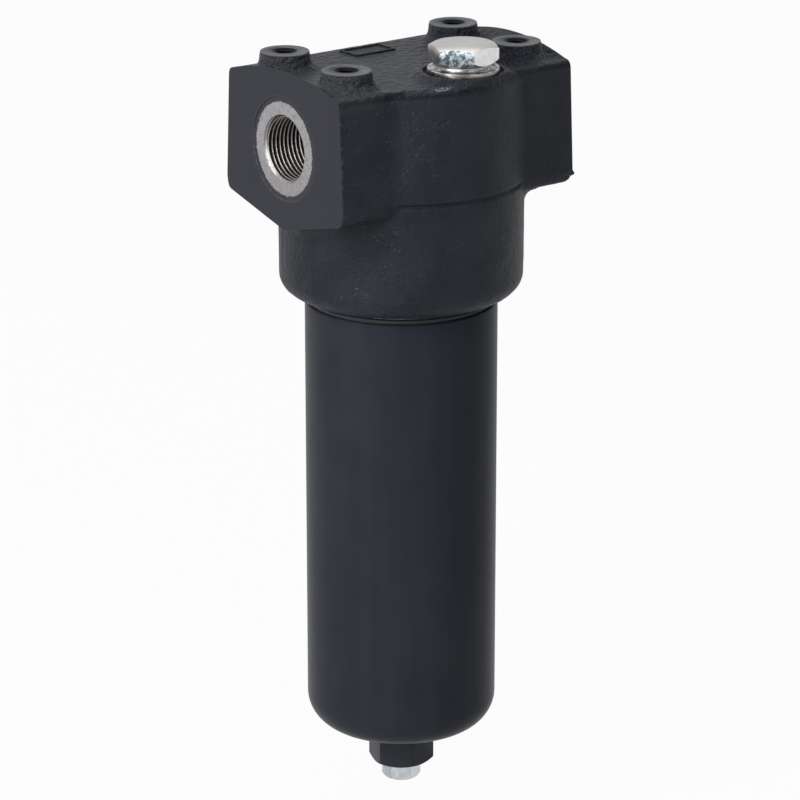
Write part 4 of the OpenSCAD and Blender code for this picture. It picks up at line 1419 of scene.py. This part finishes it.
    def _add(self, piece: Piece, finish: bpy.types.Material) -> None:
        """Lets a piece ride on the head with its finish.

        Args:
            piece: The piece to add.
            finish: Its material.
        """
        dress(piece, finish)
        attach(piece, "head")
        self.made.append(piece)


@dataclass
class Bowl(Part):
    """Steel bowl with eased edges, its hexagon and the drain plug below it."""

    edge: float = 0.00035
    plug_edge: float = 0.00030
    thread_r: float = 0.0450
    core_r: float = 0.0438
    sink: float = 0.0003
    sleeve_wall: float = 0.0008
    ring_room: float = 0.002
    beyond: float = 0.005
    drain_finish: ZincPlate = ZincPlate(
        "drain_zinc",
        colour=(0.56, 0.59, 0.61),
        cool=(0.50, 0.53, 0.56),
        roughness=0.30,
        centre=(0.0, 0.0),
        flat=0.0085,
        above=-0.3900,
        collar=-0.4000,
        # Painted light and shade on three sides of the drain plug's hexagon.
        painted_facet_light=(
            FacetPaintedLight(173.0, (0.38, 0.40, 0.42), (0.48, 0.51, 0.53)),
            FacetPaintedLight(233.0, (0.44, 0.47, 0.50), (0.54, 0.58, 0.60)),
            FacetPaintedLight(353.0, (0.40, 0.42, 0.43), (0.50, 0.52, 0.53)),
        ),
    )

    def build(self, nodes: Nodes) -> None:
        """Models the bowl and its drain plug.

        Args:
            nodes: The CAD nodes by name.
        """
        cup = Bench.copy_node(nodes["bowl"], "bowl_cup")
        Bench.ease_edges(cup, self.edge)
        paint = BowlPaint().material()
        dress(cup, paint)
        self._neck(cup, paint)
        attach(cup, "bowl")
        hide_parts("bowl")
        plug = Bench.copy_node(nodes["drain_plug"], "drain_screw")
        Bench.ease_edges(plug, self.plug_edge)
        dress(plug, self.drain_finish.material())
        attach(plug, "bowl")
        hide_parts("drain_plug")
        self.made += [cup, plug]

    def _neck(self, cup: Piece, paint: bpy.types.Material) -> None:
        """Turns the neck down to its core and fits the thread on it.

        Args:
            cup: The bowl.
            paint: The bowl's finish.
        """
        low = (0.0, 0.0, NECK_LOW)
        top = (0.0, 0.0, NECK_TOP)
        ring = Bench.cutter(self.thread_r + self.ring_room, low, top)
        below = (0.0, 0.0, NECK_LOW - self.beyond)
        above = (0.0, 0.0, NECK_TOP + self.beyond)
        Bench.cut(ring, Bench.cutter(self.core_r - self.sink, below, above))
        Bench.cut(cup, ring)
        thread = NeckThread(
            "bowl_thread",
            core_r=self.core_r,
            major_r=self.thread_r,
            pitch=NECK_PITCH,
            length=NECK_TOP - NECK_LOW,
            face_r=self.core_r - self.sleeve_wall,
            steps=128,
        ).build()
        Bench.set_down(thread, Matrix.Translation(top))
        dress(thread, paint)
        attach(thread, "bowl")
        self.made.append(thread)


@dataclass
class IndicatorPlug(Part):
    """Zinc-plated screw plug in the indicator port."""

    edge: float = 0.00035

    def build(self, nodes: Nodes) -> None:
        """Models the plug.

        Args:
            nodes: The CAD nodes by name.
        """
        plug = Bench.copy_node(nodes["indicator_plug"], "indicator_screw")
        Bench.ease_edges(plug, self.edge)
        dress(plug, ZincPlate().material())
        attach(plug, "head")
        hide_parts("indicator_plug")
        self.made.append(plug)


@dataclass
class BypassSpring(Part):
    """Coil spring of the bypass valve, which the poppet squeezes towards its cap as it lifts; the copy
    keeps the CAD shape.
    """

    lift: float = 0.005

    def build(self, nodes: Nodes) -> None:
        """Models the spring.

        Args:
            nodes: The CAD nodes by name.
        """
        coil = Bench.copy_node(nodes["bypass_spring"], "bypass_coil")
        Bench.shade(coil, angle=40.0)
        dress(coil, TurnedSteel("spring_steel", (0.36, 0.36, 0.37)).material())
        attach(coil, "head")
        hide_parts("bypass_spring")
        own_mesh(coil)
        self.made.append(coil)


@dataclass
class InnerParts:
    """Pieces inside, which keep their CAD shapes and get their finishes."""

    rubber: tuple[str, ...] = (
        "spigot_seal",
        "bypass_seal",
        "indicator_seal",
        "indicator_nose_seal",
        "bowl_seal",
        "drain_seal",
        "element_seal",
    )
    sheet: tuple[str, ...] = (
        "element_top_cap",
        "element_bottom_cap",
        "element_core",
        "element_guard",
    )
    turned: tuple[str, ...] = ("spigot", "bypass_body", "bypass_poppet", "bypass_spring_cap")

    def dress(self, nodes: Nodes) -> None:
        """Gives each inner node its finish.

        Args:
            nodes: The CAD nodes by name.
        """
        finishes = (
            (self.rubber, Rubber()),
            (self.sheet, SheetMetal()),
            (self.turned, TurnedSteel()),
            (("bowl_backup_ring",), Plastic()),
            (("element_media",), FilterSheet()),
        )
        for names, finish in finishes:
            material = finish.material()
            for name in names:
                dress(nodes[name], material)


# ------------------------------------------------------------------------ studio


def aimed(data: bpy.types.ID, place: Triple, aim: Triple) -> Piece:
    """Puts a lamp or a camera in place and turns it to its aim.

    Args:
        data: The lamp or the camera.
        place: Where it stands.
        aim: What it looks at.

    Returns:
        The object that holds it.
    """
    holder = bpy.data.objects.new(data.name, data)
    holder.location = place
    way = Vector(aim) - Vector(place)
    holder.rotation_euler = way.to_track_quat("-Z", "Y").to_euler()
    bpy.context.scene.collection.objects.link(holder)
    return holder


@dataclass
class Softbox:
    """Square soft light."""

    name: str
    place: Triple
    aim: Triple
    size: float
    power: float

    def hang(self) -> None:
        """Adds the light, turned to its aim."""
        lamp = bpy.data.lights.new(self.name, "AREA")
        lamp.shape = "SQUARE"
        lamp.size = self.size
        lamp.energy = self.power
        aimed(lamp, self.place, self.aim)


@dataclass
class Studio:
    """Pale floor, white surroundings, soft lights and the camera."""

    floor_z: float = -0.4045
    floor_r: float = 6.0
    floor_tone: float = 0.50
    floor_white: float = 0.955
    ambient: float = 0.17
    eye: Triple = (-1.0824, -1.4333, 0.4196)
    aim: Triple = (0.0, 0.0, -0.17994)
    lens: float = 171.70
    shift: float = -0.0015
    lights: tuple[Softbox, ...] = (
        Softbox("key", (-2.5, -0.65, 1.2), (0.0, 0.0, -0.15), 2.6, 108.0),
        Softbox("fill", (1.0, -2.6, 0.4), (0.0, 0.0, -0.2), 1.4, 1.5),
        Softbox("above", (0.2, 0.7, 2.2), (0.0, 0.0, 0.0), 2.4, 34.0),
    )

    def build(self) -> None:
        """Builds the whole studio."""
        self._floor()
        self._surroundings()
        for box in self.lights:
            box.hang()
        self._camera()
        bpy.context.scene.view_settings.view_transform = "Standard"

    @staticmethod
    def _shown(g: Graph) -> Wire:
        """Wire that is 1 for the rays that show the white surroundings.

        Args:
            g: Graph of the floor's material or of the world.

        Returns:
            Wire that is 0 for the rays that only carry light.
        """
        path = g.node("ShaderNodeLightPath")
        seen = g.out(path, "Is Camera Ray") + g.out(path, "Is Glossy Ray")
        return g.math("MINIMUM", seen + g.out(path, "Is Transmission Ray"), 1.0)

    def _floor(self) -> None:
        """Lays a pale round floor, low enough for the unscrewed bowl."""
        bpy.ops.object.select_all(action="DESELECT")
        bpy.ops.mesh.primitive_circle_add(vertices=96, radius=self.floor_r, fill_type="NGON")
        floor = bpy.context.object
        floor.name = "floor"
        Bench.set_down(floor, Matrix.Translation((0.0, 0.0, self.floor_z)))
        g = Graph.of_material("floor_pale")
        tone = self.floor_tone
        matt = g.node("ShaderNodeBsdfDiffuse", inputs={"Color": (tone, tone, tone, 1.0)})
        white = g.node("ShaderNodeEmission", inputs={"Color": WHITE})
        inputs = {0: self._shown(g) * self.floor_white, 1: g.out(matt), 2: g.out(white)}
        both = g.node("ShaderNodeMixShader", inputs=inputs)
        g.node("ShaderNodeOutputMaterial", inputs={"Surface": g.out(both)})
        dress(floor, g.owner)

    def _surroundings(self) -> None:
        """Makes the world white where it is seen and grey where it gives light."""
        world = bpy.data.worlds.new("studio")
        bpy.context.scene.world = world
        g = Graph(world)
        light = g.node("ShaderNodeBackground", inputs={0: WHITE, 1: self.ambient})
        shown = g.node("ShaderNodeBackground", inputs={0: WHITE, 1: 1.0})
        inputs = {0: self._shown(g), 1: g.out(light), 2: g.out(shown)}
        both = g.node("ShaderNodeMixShader", inputs=inputs)
        g.node("ShaderNodeOutputWorld", inputs={"Surface": g.out(both)})

    def _camera(self) -> None:
        """Sets up the camera at the photograph's viewing angle."""
        lens = bpy.data.cameras.new("camera")
        lens.sensor_width = 36.0
        lens.lens = self.lens
        lens.shift_x = self.shift
        lens.clip_end = 50.0
        bpy.context.scene.camera = aimed(lens, self.eye, self.aim)


def main() -> None:
    """Builds the dressed filter in order and reports each piece."""
    logging.basicConfig(level=logging.INFO, format="%(message)s")
    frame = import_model()
    nodes = frame["nodes"]
    Studio().build()
    for part in (HeadCasting(), Bowl(), IndicatorPlug(), BypassSpring()):
        part.build(nodes)
        for piece in part.made:
            log.info("%s: %d faces", piece.name, len(piece.data.polygons))
    InnerParts().dress(nodes)


if __name__ == "__main__":
    main()
